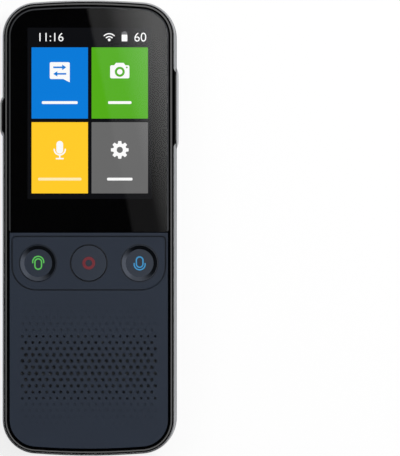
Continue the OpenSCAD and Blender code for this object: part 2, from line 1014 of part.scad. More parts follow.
// Opening inside the rim of the speaker and of its gasket
module speaker_opening() {
    centred_round_rect(speaker_w - 2 * speaker_rim,
                       speaker_l - 2 * speaker_rim, 2.5);
}

// Basket with a rim, a sunk surround and a long dome in the middle
module speaker() {
    top = speaker_z + speaker_t;
    cone_z = top - 0.8;
    dome_w = speaker_w - 2 * speaker_rim - 6;
    dome_l = speaker_l - 9;
    color("#3b3d40") translate([0, grille_y, 0]) {
        difference() {
            slab(speaker_z, top) centred_round_rect(speaker_w, speaker_l, 1);
            slab(cone_z, top + clear) speaker_opening();
            slab(speaker_z - clear, speaker_z + magnet_sink)
                circle(magnet_r + 0.1);
        }
        slab(cone_z - weld, cone_z + 0.5)
            centred_round_rect(dome_w, dome_l, 4);
    }
}

module speaker_magnet() {
    top = speaker_z + magnet_sink;
    color(steel) translate([0, grille_y, 0])
        slab(top - magnet_t, top) circle(magnet_r);
}

// -------------------------------------------------------------- side keys

// Bar with round ends and a crowned face, standing out along +X. h is its
// height along Z, face the x of the crown's highest line.
module crowned_bar(l, h, x0, face, proud) {
    half = h / 2;
    crown = (half * half + proud * proud) / (2 * proud);
    straight = l - h;
    translate([0, straight / 2, 0]) rotate([90, 0, 0])
        linear_extrude(straight) both_sides_of_axis()
            crown_section(half, x0, face, crown);
    for (end = [0, 1]) mirror([0, end, 0])
        translate([0, straight / 2, 0]) intersection() {
            rotate([0, 90, 0]) rotate_extrude()
                crown_profile(half, x0, face, crown);
            block(x0 - clear, face + clear, 0, h, -h, h);
        }
}

// Radius outwards, height along the bar's axis of revolution
module crown_profile(half, x0, face, crown) {
    intersection() {
        translate([0, face - crown]) circle(crown, $fn = 192);
        translate([0, x0]) square([half, face - x0 + clear]);
    }
}

module crown_section(half, x0, face, crown) {
    intersection() {
        translate([face - crown, 0]) circle(crown, $fn = 192);
        translate([x0, 0]) square([face - x0 + clear, half]);
    }
}

module both_sides_of_axis() {
    children();
    mirror([0, 1]) children();
}

module side_flange(l, x1, h) {
    centred_block(x1 - side_flange_t / 2, 0, side_flange_t,
                  l + 2 * side_flange_over, -h / 2, h / 2);
}

module side_nib(y, x1) {
    translate([side_nib_x, y, push_z - side_key_z]) rotate([0, 90, 0])
        cylinder(r = side_nib_r, h = x1 - side_nib_x);
}

module volume_rocker() {
    inner = rocker_flange_x - side_flange_t / 2;
    color(black) translate([0, rocker_y, side_key_z]) {
        crowned_bar(rocker_l, side_key_h, rocker_flange_x,
                    side_x + rocker_proud, rocker_proud);
        side_flange(rocker_l, rocker_flange_x, side_key_h);
        translate([pivot_x, 0, -pivot_h / 2])
            cylinder(r = pivot_r, h = pivot_h);
        for (y = [-volume_arm, volume_arm]) side_nib(y, inner);
    }
}

module power_button() {
    color(black) mirror([1, 0, 0]) translate([0, power_y, side_key_z]) {
        crowned_bar(power_l, side_key_h, power_flange_x,
                    side_x + power_proud, power_proud);
        side_flange(power_l, power_flange_x, side_key_h);
        side_nib(0, power_flange_x - side_flange_t / 2);
    }
}

// Side push switch on the rear face of the main board, facing +X
module side_switch(y) {
    difference() {
        block(side_switch_x - side_switch_l, side_switch_x,
              y - side_switch_w / 2, y + side_switch_w / 2,
              board_z - side_switch_h, board_z);
        translate([side_stem_x - power_travel - stem_room, y, push_z])
            rotate([0, 90, 0]) cylinder(r = side_stem_r + stem_gap, h = 3);
    }
}

module side_stem(y) {
    translate([side_stem_x, y, push_z]) rotate([0, 90, 0])
        cylinder(r = side_stem_r, h = side_nib_x - side_stem_x);
}

module volume_switches() {
    color(steel) for (arm = [-volume_arm, volume_arm])
        side_switch(rocker_y + arm);
}

module volume_switch_stems() {
    color("#b33a2e") for (arm = [-volume_arm, volume_arm])
        side_stem(rocker_y + arm);
}

module power_switch() {
    color(steel) mirror([1, 0, 0]) side_switch(power_y);
}

module power_switch_stem() {
    color("#b33a2e") mirror([1, 0, 0]) side_stem(power_y);
}

// ----------------------------------------------------------------- camera

// Bore of the small hole beside the window, at the ring's centre
module rear_mic_bore() {
    translate([0, mic_ring_r, -clear])
        cylinder(r = mic_hole_r, h = board_z + clear);
}

// Raised ring: domed outside, bevelled to the window, seated in the back
module camera_ring() {
    dome_r = 1.6;
    bevel = crest_r - window_r - fit;
    color(black) translate([0, ring_y, 0]) difference() {
        rotate_extrude($fn = 128) difference() {
            union() {
                translate([window_r - clear, 0])
                    square([crest_r - window_r + clear, ring_seat_z]);
                translate([ring_ledge_r, window_z])
                    square([window_r - ring_ledge_r, ring_seat_z - window_z]);
                intersection() {
                    translate([crest_r, dome_r]) circle(dome_r);
                    translate([crest_r, 0])
                        square([ring_r - crest_r, ring_seat_z]);
                }
                translate([crest_r, dome_r / 2])
                    square([ring_r - crest_r, ring_seat_z - dome_r / 2]);
            }
            translate([0, -clear]) square([window_r + fit, window_z + clear]);
            polygon([
                [window_r + fit - 0.5, -0.5], [crest_r + 0.5, -0.5],
                [crest_r, 0], [window_r + fit, bevel],
                [window_r + fit - 0.5, bevel],
            ]);
        }
        rear_mic_bore();
    }
}

module camera_window() {
    color("#15171a") translate([0, ring_y, 0]) difference() {
        translate([0, 0, window_recess])
            cylinder(r = window_r, h = window_t, $fn = 128);
        rear_mic_bore();
    }
}

// Black plate behind the window, with openings for the lens and the flash
module camera_mask() {
    color("#050506") translate([0, ring_y, 0]) difference() {
        translate([0, 0, mask_z])
            cylinder(r = opening_r - 0.1, h = mask_t, $fn = 96);
        translate([lens_x, module_dy]) slab(0, board_z) circle(d = lens_d + 0.3);
        translate([-flash_x, 0]) slab(0, board_z) circle(d = flash_d + 0.2);
        rear_mic_bore();
    }
}

// Stepped barrel with a sunk front glass
module camera_lens() {
    r = lens_d / 2;
    color("#2b3a52") translate([lens_x, ring_y + module_dy, 0])
        rotate_extrude() polygon([
            [0, lens_z + 0.5], [r - 1.6, lens_z + 0.45],
            [r - 1, lens_z + 0.25], [r - 0.6, lens_z], [r, lens_z],
            [r, module_z], [0, module_z],
        ]);
}

module camera_module() {
    color(black) centred_block(lens_x, ring_y + module_dy, module_w, module_w,
                               module_z, board_z);
}

// Diffuser behind the window and the light pipe from the lamp
module flash_lens() {
    disc_t = 1.2;
    color("#e9edf2") translate([-flash_x, ring_y, 0]) {
        slab(lens_z, lens_z + disc_t) circle(flash_d / 2);
        slab(lens_z + disc_t - weld, board_z - led_h) circle(light_pipe_r);
    }
}

module flash_led() {
    color("#f1e9a0")
        centred_block(-flash_x, ring_y, led_w, led_w, board_z - led_h,
                      board_z);
}

module rear_microphone() {
    color(steel) centred_block(0, ring_y + mic_ring_r, 3, 2.6,
                               board_z - mic_h, board_z);
}

// Rubber tube from the hole beside the window to the microphone
module rear_mic_boot() {
    color(foam) translate([0, ring_y, 0]) difference() {
        translate([0, mic_ring_r])
            slab(mask_z + mask_t, board_z - mic_h) circle(1.05);
        rear_mic_bore();
    }
}

// ----------------------------------------------------------------- boards

module board_plan() {
    intersection() {
        outline(board_u);
        translate([-board_x, board_bottom])
            square([2 * board_x, board_top - board_bottom]);
    }
}

module main_board() {
    color(board_green) difference() {
        slab(board_z, board_face) board_plan();
        both_sides() for (y = [boss_y, boss_foot_y])
            translate([boss_x, y, 0])
                cylinder(r = screw_hole_r, h = body_height);
    }
}

module port_board() {
    color(board_green) difference() {
        slab(port_board_z, port_face) intersection() {
            outline(skirt_u + 0.4);
            translate([-port_board_x, -top_y])
                square([2 * port_board_x, port_board_y + top_y]);
        }
        both_sides() translate([port_screw_x, port_screw_y, 0])
            cylinder(r = screw_hole_r, h = body_height);
    }
}

// Ribbon from the main board, past the speaker, to the port board
module board_link_flex() {
    t = ribbon_t;
    x0 = -19;
    x1 = -16.5;
    run = speaker_z - 0.3;
    start = board_bottom + 3;
    drop = board_bottom - 1.5;
    rise = port_board_y + 1.5;
    finish = port_board_y - 3;
    color(amber) {
        block(x0, x1, drop, start, board_z - t, board_z);
        block(x0, x1, drop, drop + t, run, board_z);
        block(x0, x1, rise, drop + t, run, run + t);
        block(x0, x1, rise, rise + t, port_face, run + t);
        block(x0, x1, finish, rise + t, port_face, port_face + t);
    }
}

module processor() {
    color(black) centred_block(processor_x, chip_y, 10, 10, board_z - 0.7,
                               board_z);
}

// Thin can over the processor, open towards the board
module processor_shield() {
    shield_can(processor_x, chip_y, 16, 18);
}

module radio_shield() {
    shield_can(radio_x, chip_y, 13, 16);
}

module shield_can(x, y, w, l) {
    color(steel) difference() {
        centred_block(x, y, w, l, board_z - can_h, board_z);
        centred_block(x, y, w - 2 * can_t, l - 2 * can_t,
                      board_z - can_h + can_t, board_z + clear);
    }
}

module screw(z, length) {
    translate([0, 0, z - screw_head_h]) {
        difference() {
            cylinder(r = screw_head_r, h = screw_head_h);
            slab(-weld, screw_head_h / 2) circle(socket_hex_r, $fn = 6);
        }
        cylinder(r = screw_r, h = screw_head_h + length);
    }
}

module board_screws() {
    color(steel) both_sides() for (y = [boss_y, boss_foot_y])
        translate([boss_x, y, 0]) screw(board_z, board_t + screw_grip);
}

module port_screws() {
    color(steel) both_sides() translate([port_screw_x, port_screw_y, port_face])
        mirror([0, 0, 1]) screw(0, port_board_t + 2);
}

// ---------------------------------------------------------------- battery

module battery() {
    z0 = floor_z + tape_h;
    color("#9aa3ad") translate([0, battery_y, 0])
        slab(z0, z0 + battery_t)
            centred_round_rect(battery_w, battery_l, battery_corner_r);
}

module battery_tape() {
    color("#d8d4c0") translate([0, battery_y, 0])
        slab(floor_z, floor_z + tape_h)
            square([battery_w - 6, battery_l - 8], center = true);
}

module battery_connector() {
    color("#e8e4d8") centred_block(0, plug_y, 5, 3, board_z - 1.5, board_z);
}

module battery_leads() {
    y0 = battery_y - battery_l / 2;
    z0 = floor_z + tape_h + battery_t - 0.8;
    rise = board_z - 0.8 - z0;
    reach = 1.5;
    color("#a02020") for (side = [-1, 1])
        translate([side * lead_pitch / 2, y0, z0]) {
            rotate([90, 0, 0]) cylinder(r = lead_r, h = reach);
            translate([0, lead_r - reach, 0]) cylinder(r = lead_r, h = rise);
            translate([0, lead_r - reach, rise]) rotate([90, 0, 0])
                cylinder(r = lead_r, h = reach + lead_r);
        }
}

// Flexible antenna on the inside of the back, below the battery
module antenna() {
    color(amber) block(7, 14, grille_y - 12, grille_y + 14, floor_z,
                       floor_z + ribbon_t);
}

// --------------------------------------------------------------- USB port

module along_port() {
    translate([0, usb_y, usb_z]) rotate([-90, 0, 0]) children();
}

module usb_shell() {
    color(steel) along_port() difference() {
        linear_extrude(usb_l) centred_round_rect(usb_w, usb_h, usb_h / 2);
        slab(-clear, usb_l - port_back)
            centred_round_rect(usb_w - 2 * usb_sheet, usb_h - 2 * usb_sheet,
                               usb_h / 2 - usb_sheet);
    }
}

// Plastic tongue on its base block at the back of the receptacle
module usb_tongue() {
    base = usb_l - port_back - 1.5;
    inset = usb_sheet + 0.05;
    color(black) along_port() {
        slab(base, usb_l - port_back)
            centred_round_rect(usb_w - 2 * inset, usb_h - 2 * inset,
                               usb_h / 2 - inset);
        centred_block(0, 0, tongue_w, tongue_t, 1.5, base + weld);
    }
}

module usb_contacts() {
    w = 0.24;
    t = 0.06;
    color("#d8b45a") along_port() for (k = [-5.5 : 5.5], side = [-1, 1])
        centred_block(k * contact_pitch, side * (tongue_t + t) / 2, w, t, 1.8,
                      4.6);
}

module bottom_mic_boot() {
    color(foam) difference() {
        block(mic_x - mic_boot_w / 2, mic_x + mic_boot_w / 2,
              -top_y + wall + 0.35, mic_boot_y, port_face, usb_z + 1.4);
        translate([mic_x, mic_boot_y + clear, usb_z]) rotate([90, 0, 0])
            cylinder(r = mic_bore_r, h = mic_boot_y + top_y + 2 * clear);
    }
}

module bottom_microphone() {
    color(steel) block(mic_x - mic_w / 2, mic_x + mic_w / 2, mic_boot_y,
                       mic_boot_y + mic_h, port_face, usb_z + 1.2);
}

rear_shell();
front_frame();
cover_glass();
touch_sensor();
glass_tape();
lcd_cell();
backlight();
display_bracket();
display_flex();
display_connector();
front_panel();
key_plate();
key_left();
key_centre();
key_right();
grille_mesh();
speaker_gasket();
speaker();
speaker_magnet();
volume_rocker();
power_button();
camera_ring();
camera_window();
camera_mask();
camera_lens();
camera_module();
flash_lens();
flash_led();
rear_microphone();
rear_mic_boot();
main_board();
port_board();
board_link_flex();
processor();
processor_shield();
radio_shield();
battery();
battery_tape();
battery_leads();
battery_connector();
antenna();
usb_shell();
usb_tongue();
usb_contacts();
bottom_microphone();
bottom_mic_boot();
left_key_switch();
centre_key_switch();
right_key_switch();
volume_switches();
power_switch();
left_switch_stem();
centre_switch_stem();
right_switch_stem();
volume_switch_stems();
power_switch_stem();
board_screws();
port_screws();
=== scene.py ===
"""Looks of a handheld translator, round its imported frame: finishes of the housing and
the keys, printed marks, the lit picture of the display, the speaker's cloth, the rear
camera and the studio. Laid out as an add-on and run as a script."""

import math

import bmesh
import bpy
from mathutils import Matrix, Vector
from mathutils.bvhtree import BVHTree
from mathutils.geometry import convex_hull_2d, normal


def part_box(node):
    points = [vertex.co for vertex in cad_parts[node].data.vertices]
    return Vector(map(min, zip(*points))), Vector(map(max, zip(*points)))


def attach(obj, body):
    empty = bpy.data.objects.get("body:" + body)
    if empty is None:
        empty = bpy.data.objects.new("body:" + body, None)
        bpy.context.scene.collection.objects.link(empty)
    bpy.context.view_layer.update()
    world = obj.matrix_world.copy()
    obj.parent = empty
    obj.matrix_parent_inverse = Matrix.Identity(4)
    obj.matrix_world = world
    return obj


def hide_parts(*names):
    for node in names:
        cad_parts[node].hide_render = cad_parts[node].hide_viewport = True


bl_info = {
    "name": "Handheld translator looks",
    "version": (1, 0, 0),
    "blender": (4, 5, 0),
    "location": "View3D > Sidebar > Translator",
    "description": "Finishes, marks, display picture and studio of a handheld translator",
    "category": "Object",
}

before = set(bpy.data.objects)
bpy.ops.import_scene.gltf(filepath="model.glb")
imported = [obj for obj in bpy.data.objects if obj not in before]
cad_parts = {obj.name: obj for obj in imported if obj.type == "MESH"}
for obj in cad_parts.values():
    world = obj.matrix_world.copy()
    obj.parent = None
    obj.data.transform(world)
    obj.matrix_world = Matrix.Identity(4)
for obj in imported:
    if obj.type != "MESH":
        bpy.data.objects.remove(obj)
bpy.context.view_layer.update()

MM = 0.001
HOUSING = "housing"

# Faces that meet at more than the crease stay sharp, and points nearer than that are merged.
CREASE = math.radians(25)
MERGE_DISTANCE = 1e-6

# How finely round shapes are drawn.
ARC_STEP = math.radians(7.5)
TURNED_STEPS = 96
SMALL_STEPS = 64

# How thick printed marks and the layers of the picture are, and how far the outlines of
# digits are drawn in.
PRINT_THICKNESS = 0.01 * MM
DIGIT_THINNING = -0.003

# How far below the top of its piece each finish reaches, and the slope that makes a wall.
LIP_HEIGHT = 0.49 * MM
RIM_HEIGHT = 1.4 * MM
FLANK_HEIGHT = 2.6 * MM
CHAMFER_HEIGHT = 0.46 * MM
TOP_FACE = 0.01 * MM
STEEP = math.cos(math.radians(22))

# Each side key's side, its body and the width of its bright line, a painted highlight in
# silver, and the line's rise over the middle of the key.
SIDE_KEYS = {
    "volume_rocker": (1, "volume", 0.65 * MM),
    "power_button": (-1, "power", 0.42 * MM),
}
KEY_LINE_RISE = 0.6 * MM

# The matt black beside a side key, a painted shade on the lip: it begins past the key's
# flange, and takes a short way in several steps to cross the lip.
KEY_FLANGE = 1.0 * MM
KEY_RUN_IN = 1.8 * MM
RUN_IN_STEPS = 6
LIP_WIDTH = 1.1 * MM

# Noise keeps mostly to this range. Patches are the slow changes of a colour. At a scale of 1,
# a wave texture has a ring for each WAVE_TURN metres.
NOISE_RANGE = (0.3, 0.7)
PATCH_SIZE = 12 * MM
PATCH_DETAIL = 3.0
GRAIN_DETAIL = 2.0
WAVE_TURN = 0.31

# At GLOW_REACH from the middle of the display, this share of its light is left.
GLOW_REACH = 35 * MM
GLOW_FADE = 0.98


def linear(hex_colour):
    """The linear RGB of an sRGB hex colour such as 8090a0."""
    parts = [int(hex_colour[i : i + 2], 16) / 255 for i in (0, 2, 4)]
    return tuple(c / 12.92 if c <= 0.04045 else ((c + 0.055) / 1.055) ** 2.4 for c in parts)


def colour_prop(name, description, hex_colour):
    """A colour that a user may change."""
    return bpy.props.FloatVectorProperty(
        name=name,
        description=description,
        subtype="COLOR",
        size=3,
        min=0,
        max=1,
        default=linear(hex_colour),
    )


def length_prop(name, description, millimetres, least=0):
    """A length that a user may change, in millimetres like its least value."""
    return bpy.props.FloatProperty(
        name=name,
        description=description,
        subtype="DISTANCE",
        min=least * MM,
        default=millimetres * MM,
    )


class TranslatorFinishes(bpy.types.PropertyGroup):
    """Colours of the mouldings, the marks and the display."""

    shell: colour_prop("Rear shell", "Soft-touch paint of the rear shell", "262d34")
    # The lip's silver is a painted highlight on the slate shell; the side keys' line takes it too.
    lip: colour_prop("Lip", "Bright metallised lip of the rear shell", "b2b3b6")
    panel: colour_prop("Front panel", "Moulded front panel and key plate", "222a37")
    rim: colour_prop("Rim", "Polished rim round the front", "050506")
    border: colour_prop("Border", "Ink fired into the back of the cover glass", "020203")
    left_mark: colour_prop("Left mark", "Printed mark of the left key", "5cc456")
    centre_mark: colour_prop("Centre mark", "Printed mark of the centre key", "6e222b")
    right_mark: colour_prop("Right mark", "Printed mark of the right key", "3993c8")
    unlit: colour_prop("Unlit display", "Dark ground of the lit picture", "0d0e11")
    talk_tile: colour_prop("Talk tile", "First tile of the picture", "0a79d6")
    camera_tile: colour_prop("Camera tile", "Second tile of the picture", "52aa19")
    record_tile: colour_prop("Record tile", "Third tile of the picture", "fec92a")
    options_tile: colour_prop("Options tile", "Fourth tile of the picture", "676767")


class TranslatorDisplay(bpy.types.PropertyGroup):
    """Sizes of the picture on the display."""

    tile_width: length_prop("Tile width", "Width of a tile", 16.4)
    tile_height: length_prop("Tile height", "Height of a tile", 20.7)
    tile_gap: length_prop("Tile gap", "Gap between two tiles", 1.05)
    lit_width: length_prop("Lit width", "Width of the lit area", 36.2)
    lit_height: length_prop("Lit height", "Height of the lit area", 49.8)
    brightness: bpy.props.FloatProperty(
        name="Brightness", description="Strength of the lit picture", min=0, default=1.08
    )


class TranslatorSpeaker(bpy.types.PropertyGroup):
    """Sizes of the cloth of fine wires behind the grille."""

    wire_pitch: length_prop("Wire pitch", "Distance between two wires", 0.16)
    wire_width: length_prop("Wire width", "Thickness of a wire", 0.06)


class TranslatorStudio(bpy.types.PropertyGroup):
    """Camera and floor."""

    camera_height: length_prop("Camera height", "Height of the camera above the floor", 580, 100)
    camera_side: length_prop(
        "Camera side", "How far the camera stands to the right of the middle", 32.3, -1000
    )
    view_width: length_prop("View width", "Width of the view at the display's level", 116.3)
    floor_colour: colour_prop("Floor", "Matt white floor", "fcfcfc")


# ------------------------------------------------------------------ materials


def add(tree, kind, settings=None, inputs=None):
    """Adds a node, with its settings by name and its inputs as values or linked sockets."""
    node = tree.nodes.new(kind)
    for name, value in (settings or {}).items():
        setattr(node, name, value)
    for name, value in (inputs or {}).items():
        if isinstance(value, bpy.types.NodeSocket):
            tree.links.new(value, node.inputs[name])
        else:
            node.inputs[name].default_value = value
    return node


def opaque(colour):
    """An RGB colour with full alpha."""
    return (*colour[:3], 1.0)


def recipe(roughness, grain, depth, colour=None, **settings):
    """What makes a finish: its roughness, the grain and depth of its relief in millimetres,
    its colour if it has one of its own, and further settings."""
    return colour, roughness, grain * MM, depth * MM, settings


# What the two panes of clear glass share.
CLEAR = {"uneven": 0.0, "IOR": 1.5, "Transmission_Weight": 1.0}

# Every finish, with what it gives the eye.
FINISHES = {
    # Soft-touch paint sprayed on moulded ABS: a deep slate with wide, soft highlights. Its
    # grain of about 0.05 mm is drawn at 0.2 mm so that it just shows.
    "sprayed soft-touch paint": recipe(0.34, 0.2, 0.0012, uneven=0.03, IOR=1.5),
    # Vapour-metallised and lacquered edges of the same mouldings: a thin satin silver line
    # Silver of painted highlight on edges of the same mouldings: a thin satin metal line that
    # stands in for the light that the slate lip and the side keys' crowns catch. It takes up the
    # light from all round it.
    "painted highlight silver": recipe(0.34, 0.3, 0.0006, uneven=0.02, Metallic=1.0),
    # Painted shade: black ABS, matt and with almost no reflection. In the grooves beside the rim
    # its black is the rim's own and its weak reflection keeps them dark, and on the slate lip beside
    # the side keys it is laid on.
    "black ABS in painted shade": recipe(0.8, 0.2, 0.002, IOR=1.3, Specular_IOR_Level=0.1),
    # ABS from a spark-eroded mould: an even, fine sparkle under soft highlights. The
    # texture of about 0.04 mm is drawn at 0.25 mm.
    "spark textured ABS": recipe(0.42, 0.25, 0.0025, uneven=0.03, IOR=1.5, Specular_IOR_Level=0.4),
    # ABS from a mirror-polished mould under a hard clear coat: black with thin, sharp
    # highlights, and a trace of the moulding's long waves.
    "polished black ABS": recipe(
        0.2, 3, 0.0006, uneven=0.02, IOR=1.5, Coat_Weight=1.0, Coat_Roughness=0.05
    ),
    # ABS from a fine-blasted mould: smoother than the panel, so that the walls of the
    # dishes catch a clear crescent of light. The blast marks of 0.03 mm are drawn at 0.2 mm.
    "fine blasted ABS": recipe(0.24, 0.2, 0.0006, uneven=0.02, IOR=1.5),
    # The steep walls of the same mouldings, of the holes, gaps and dishes: near black, a
    # painted shade, and strongly reflecting, so that edges are drawn by thin dark lines and the
    # dishes by a bright and a dark crescent.
    "ABS walls in painted shade": recipe(
        0.22, 0.2, 0.0004, "05070a", IOR=1.8, Specular_Tint=opaque(linear("d0dcf4"))
    ),
    # Pad-printed two-part ink: full, even colour with a soft gloss over the print's own
    # faint ripple of 0.15 mm.
    "pad printed ink": recipe(0.38, 0.15, 0.0008, uneven=0.04, IOR=1.48),
    # Ink fired into the back of the glass: a black that keeps no highlight of its own, so
    # that only the front of the pane mirrors.
    "fired black ink": recipe(0.6, 0.3, 0.0003, IOR=1.0, Specular_IOR_Level=0.0),
    # Toughened glass, ground and polished: clear and sharp, flat to a fraction of a micron
    # over several millimetres.
    "polished toughened glass": recipe(0.0, 8, 0.00002, "ffffff", **CLEAR),
    # The camera's window of the same make: a little cooler in tone.
    "polished camera window": recipe(0.0, 8, 0.00002, "e9edf2", **CLEAR),
    # Ground chamfer of the glass: a soft grey line, its own grey of ground glass with a faint
    # painted glow that stands in for the highlight on the chamfer.
    "glass chamfer with painted glow": recipe(
        0.5, 0.3, 0.0004, "222326", Emission_Color=opaque(linear("f4f8ff")), Emission_Strength=0.03
    ),
    # Dyed polyester thread, drawn to one smooth fibre of 0.06 mm: a slate grey that shows
    # in the large holes and sinks in the small ones.
    "dyed polyester thread": recipe(0.5, 0.05, 0.002, "767e88", IOR=1.5),
    # Turned aluminium, blasted and anodised black: a deep grey sheen in soft bands over
    # faint turning marks. The marks of 0.05 mm are drawn at 0.25 mm.
    "black anodised aluminium": recipe(
        0.3, 0.25, 0.0006, "0b0c0e", IOR=1.6, Coat_Weight=0.4, Coat_Roughness=0.25
    ),
    # Turned and blue-grey anodised lens barrel: fine bright rings round the glass.
    "turned blue grey barrel": recipe(0.28, 0.3, 0.003, "5a6a86", Metallic=0.6, IOR=1.5),
    # Black ink screen printed on the back of the camera window: matt, with the weave of
    # the screen left in it. The weave of 0.06 mm is drawn at 0.2 mm.
    "screen printed black ink": recipe(0.55, 0.2, 0.001, "060607"),
    # Front element with its anti-reflection coat: near black inside, with small blue-violet
    # glints.
    "coated front element": recipe(
        0.05,
        2,
        0.0001,
        "141c3a",
        uneven=0.02,
        IOR=1.7,
        Coat_Weight=1.0,
        Coat_Tint=opaque(linear("9db4ff")),
    ),
    # Moulded milky acrylic: a pale blue-white that keeps the ridges soft.
    "milky acrylic": recipe(0.35, 0.3, 0.001, "ccd6e6", IOR=1.49, Subsurface_Weight=0.2),
    # Moulded nylon with short glass fibres: a dull black with a fine grey streak.
    "glass filled nylon": recipe(0.5, 0.3, 0.002, "141416"),
    # Voided polyester film: an even, bright and slightly pearly white.
    "white reflector film": recipe(0.5, 0.4, 0.0005, "e2e2dc"),
    # Rolled and stamped stainless steel: fine lines of the rolls along the strip.
    "stamped stainless steel": recipe(0.3, 0.1, 0.001, "b4b5b8", stretch=(12, 1, 1), Metallic=1.0),
    # Hot-tinned steel sheet: a softer, cloudy white metal.
    "tinned steel sheet": recipe(0.4, 0.6, 0.002, "a6a8aa", uneven=0.12, Metallic=1.0),
    # Epoxy solder mask over copper: a semi-gloss green that lies in low waves.
    "green solder mask": recipe(0.35, 0.8, 0.01, "16462f", uneven=0.15),
    # Polyimide film: clear amber with a hard gloss.
    "amber polyimide film": recipe(0.3, 0.5, 0.001, "b4702c", uneven=0.08),
    # Open-cell polyurethane foam: dead matt, pitted by cells of 0.3 mm.
    "black cell foam": recipe(0.9, 0.3, 0.05, "18181a"),
    # Aluminium laminate of the battery pouch: a dull silver with shallow dents.
    "matt laminate foil": recipe(0.42, 2, 0.02, "a9adb2", uneven=0.06, Metallic=0.8),
    # Moulded red acetal: a waxy half gloss.
    "red acetal": recipe(0.45, 0.2, 0.001, "b33a2e"),
    # Hard gold over nickel: a warm, polished metal.
    "gold plated contacts": recipe(0.25, 0.1, 0.0005, "d9b45c", Metallic=1.0),
    # Extruded silicone: a soft red with a dry sheen.
    "silicone lead sleeve": recipe(0.5, 0.4, 0.001, "9a1d1d"),
    # Acrylic adhesive on tissue: a fibrous, dull cream.
    "double sided tape": recipe(0.7, 0.5, 0.004, "d6d2c4", uneven=0.1),
    # Polariser film under the glass: a deep neutral black that keeps no highlight of
    # its own behind the picture.
    "black polariser film": recipe(0.6, 0.3, 0.0003, "020203", IOR=1.0, Specular_IOR_Level=0.0),
    # Clear polycarbonate: pale and glossy under the flash.
    "clear light pipe": recipe(0.2, 1, 0.0005, "d8dde4"),
    # Matt studio paper: an even, dead white.
    "matt studio paper": recipe(0.9, 0.5, 0.002, uneven=0.0),
}


def new_material(name):
    """A material with an empty node tree."""
    material = bpy.data.materials.new(name)
    material.use_nodes = True
    material.node_tree.nodes.clear()
    return material


def relief(tree, place, grain, depth, stretch, centre):
    """A fine relief of that size and depth: random, drawn out along the axes of a stretch,
    or in rings round the vertical line through a centre."""
    if centre:
        about = add(tree, "ShaderNodeVectorMath", {"operation": "SUBTRACT"}, {0: place, 1: centre})
        rings = {"wave_type": "RINGS", "rings_direction": "Z"}
        marks = {"Vector": about.outputs[0], "Scale": WAVE_TURN / grain}
        height = add(tree, "ShaderNodeTexWave", rings, marks).outputs["Fac"]
    else:
        drawn = add(tree, "ShaderNodeVectorMath", {"operation": "DIVIDE"}, {0: place, 1: stretch})
        marks = {"Vector": drawn.outputs[0], "Scale": 1 / grain, "Detail": GRAIN_DETAIL}
        height = add(tree, "ShaderNodeTexNoise", inputs=marks).outputs[0]
    bump = {"Height": height, "Strength": 1.0, "Distance": depth}
    return add(tree, "ShaderNodeBump", inputs=bump).outputs[0]


def surface(
    name, colour, roughness, grain, depth, uneven=0.05, stretch=(1, 1, 1), centre=None, **sockets
):
    """A Principled surface with a relief of that grain and depth. Its colour and roughness
    go up and down by the uneven share over some millimetres. Further sockets are named with
    underscores."""
    material = new_material(name)
    tree = material.node_tree
    place = add(tree, "ShaderNodeTexCoord").outputs["Object"]
    slow = {"Vector": place, "Scale": 1 / PATCH_SIZE, "Detail": PATCH_DETAIL}
    patches = add(tree, "ShaderNodeTexNoise", inputs=slow)
    limits = {
        "Value": patches.outputs[0],
        "From Min": NOISE_RANGE[0],
        "From Max": NOISE_RANGE[1],
        "To Min": 1 - uneven,
        "To Max": 1 + uneven,
    }
    share = add(tree, "ShaderNodeMapRange", inputs=limits).outputs[0]
    shades = {0: colour[:3], "Scale": share}
    base = add(tree, "ShaderNodeVectorMath", {"operation": "SCALE"}, shades)
    both = {0: share, 1: roughness}
    rough = add(tree, "ShaderNodeMath", {"operation": "MULTIPLY"}, both)
    inputs = {
        "Base Color": base.outputs[0],
        "Roughness": rough.outputs[0],
        "Normal": relief(tree, place, grain, depth, stretch, centre),
    }
    inputs.update({socket.replace("_", " "): value for socket, value in sockets.items()})
    shader = add(tree, "ShaderNodeBsdfPrincipled", inputs=inputs)
    add(tree, "ShaderNodeOutputMaterial", inputs={"Surface": shader.outputs[0]})
    return material


def finish(kind, colour=None, title=None, **settings):
    """A surface with one of the finishes, in its own colour or in another, and under its own
    name or another."""
    own, *sizes, more = FINISHES[kind]
    colour = linear(own) if colour is None else colour
    return surface(title or kind, colour, *sizes, **more, **settings)


def lit_pixels(name, colour, brightness):
    """Light from the display, whose backlight fades by a few hundredths to the corners. The
    pixels are 0.06 mm apart, too fine to be seen one by one, so they are drawn as one."""
    material = new_material(name)
    tree = material.node_tree
    place = add(tree, "ShaderNodeTexCoord").outputs["Object"]
    ends = {0: place, 1: middle("lcd_cell")}
    reach = add(tree, "ShaderNodeVectorMath", {"operation": "DISTANCE"}, ends)
    limits = {
        "Value": reach.outputs["Value"],
        "From Max": GLOW_REACH,
        "To Min": brightness,
        "To Max": GLOW_FADE * brightness,
    }
    fade = add(tree, "ShaderNodeMapRange", inputs=limits)
    light = {"Color": opaque(colour), "Strength": fade.outputs[0]}
    shader = add(tree, "ShaderNodeEmission", inputs=light)
    add(tree, "ShaderNodeOutputMaterial", inputs={"Surface": shader.outputs[0]})
    return material


# ------------------------------------------------------------------- geometry


def new_object(name, data):
    """An object of that data in the scene."""
    thing = bpy.data.objects.new(name, data)
    bpy.context.scene.collection.objects.link(thing)
    return thing


def as_mesh(maker):
    """The plain mesh that an object comes to. The object is removed."""
    bpy.context.view_layer.update()
    evaluated = maker.evaluated_get(bpy.context.evaluated_depsgraph_get())
    mesh = bpy.data.meshes.new_from_object(evaluated)
    bpy.data.objects.remove(maker)
    return mesh


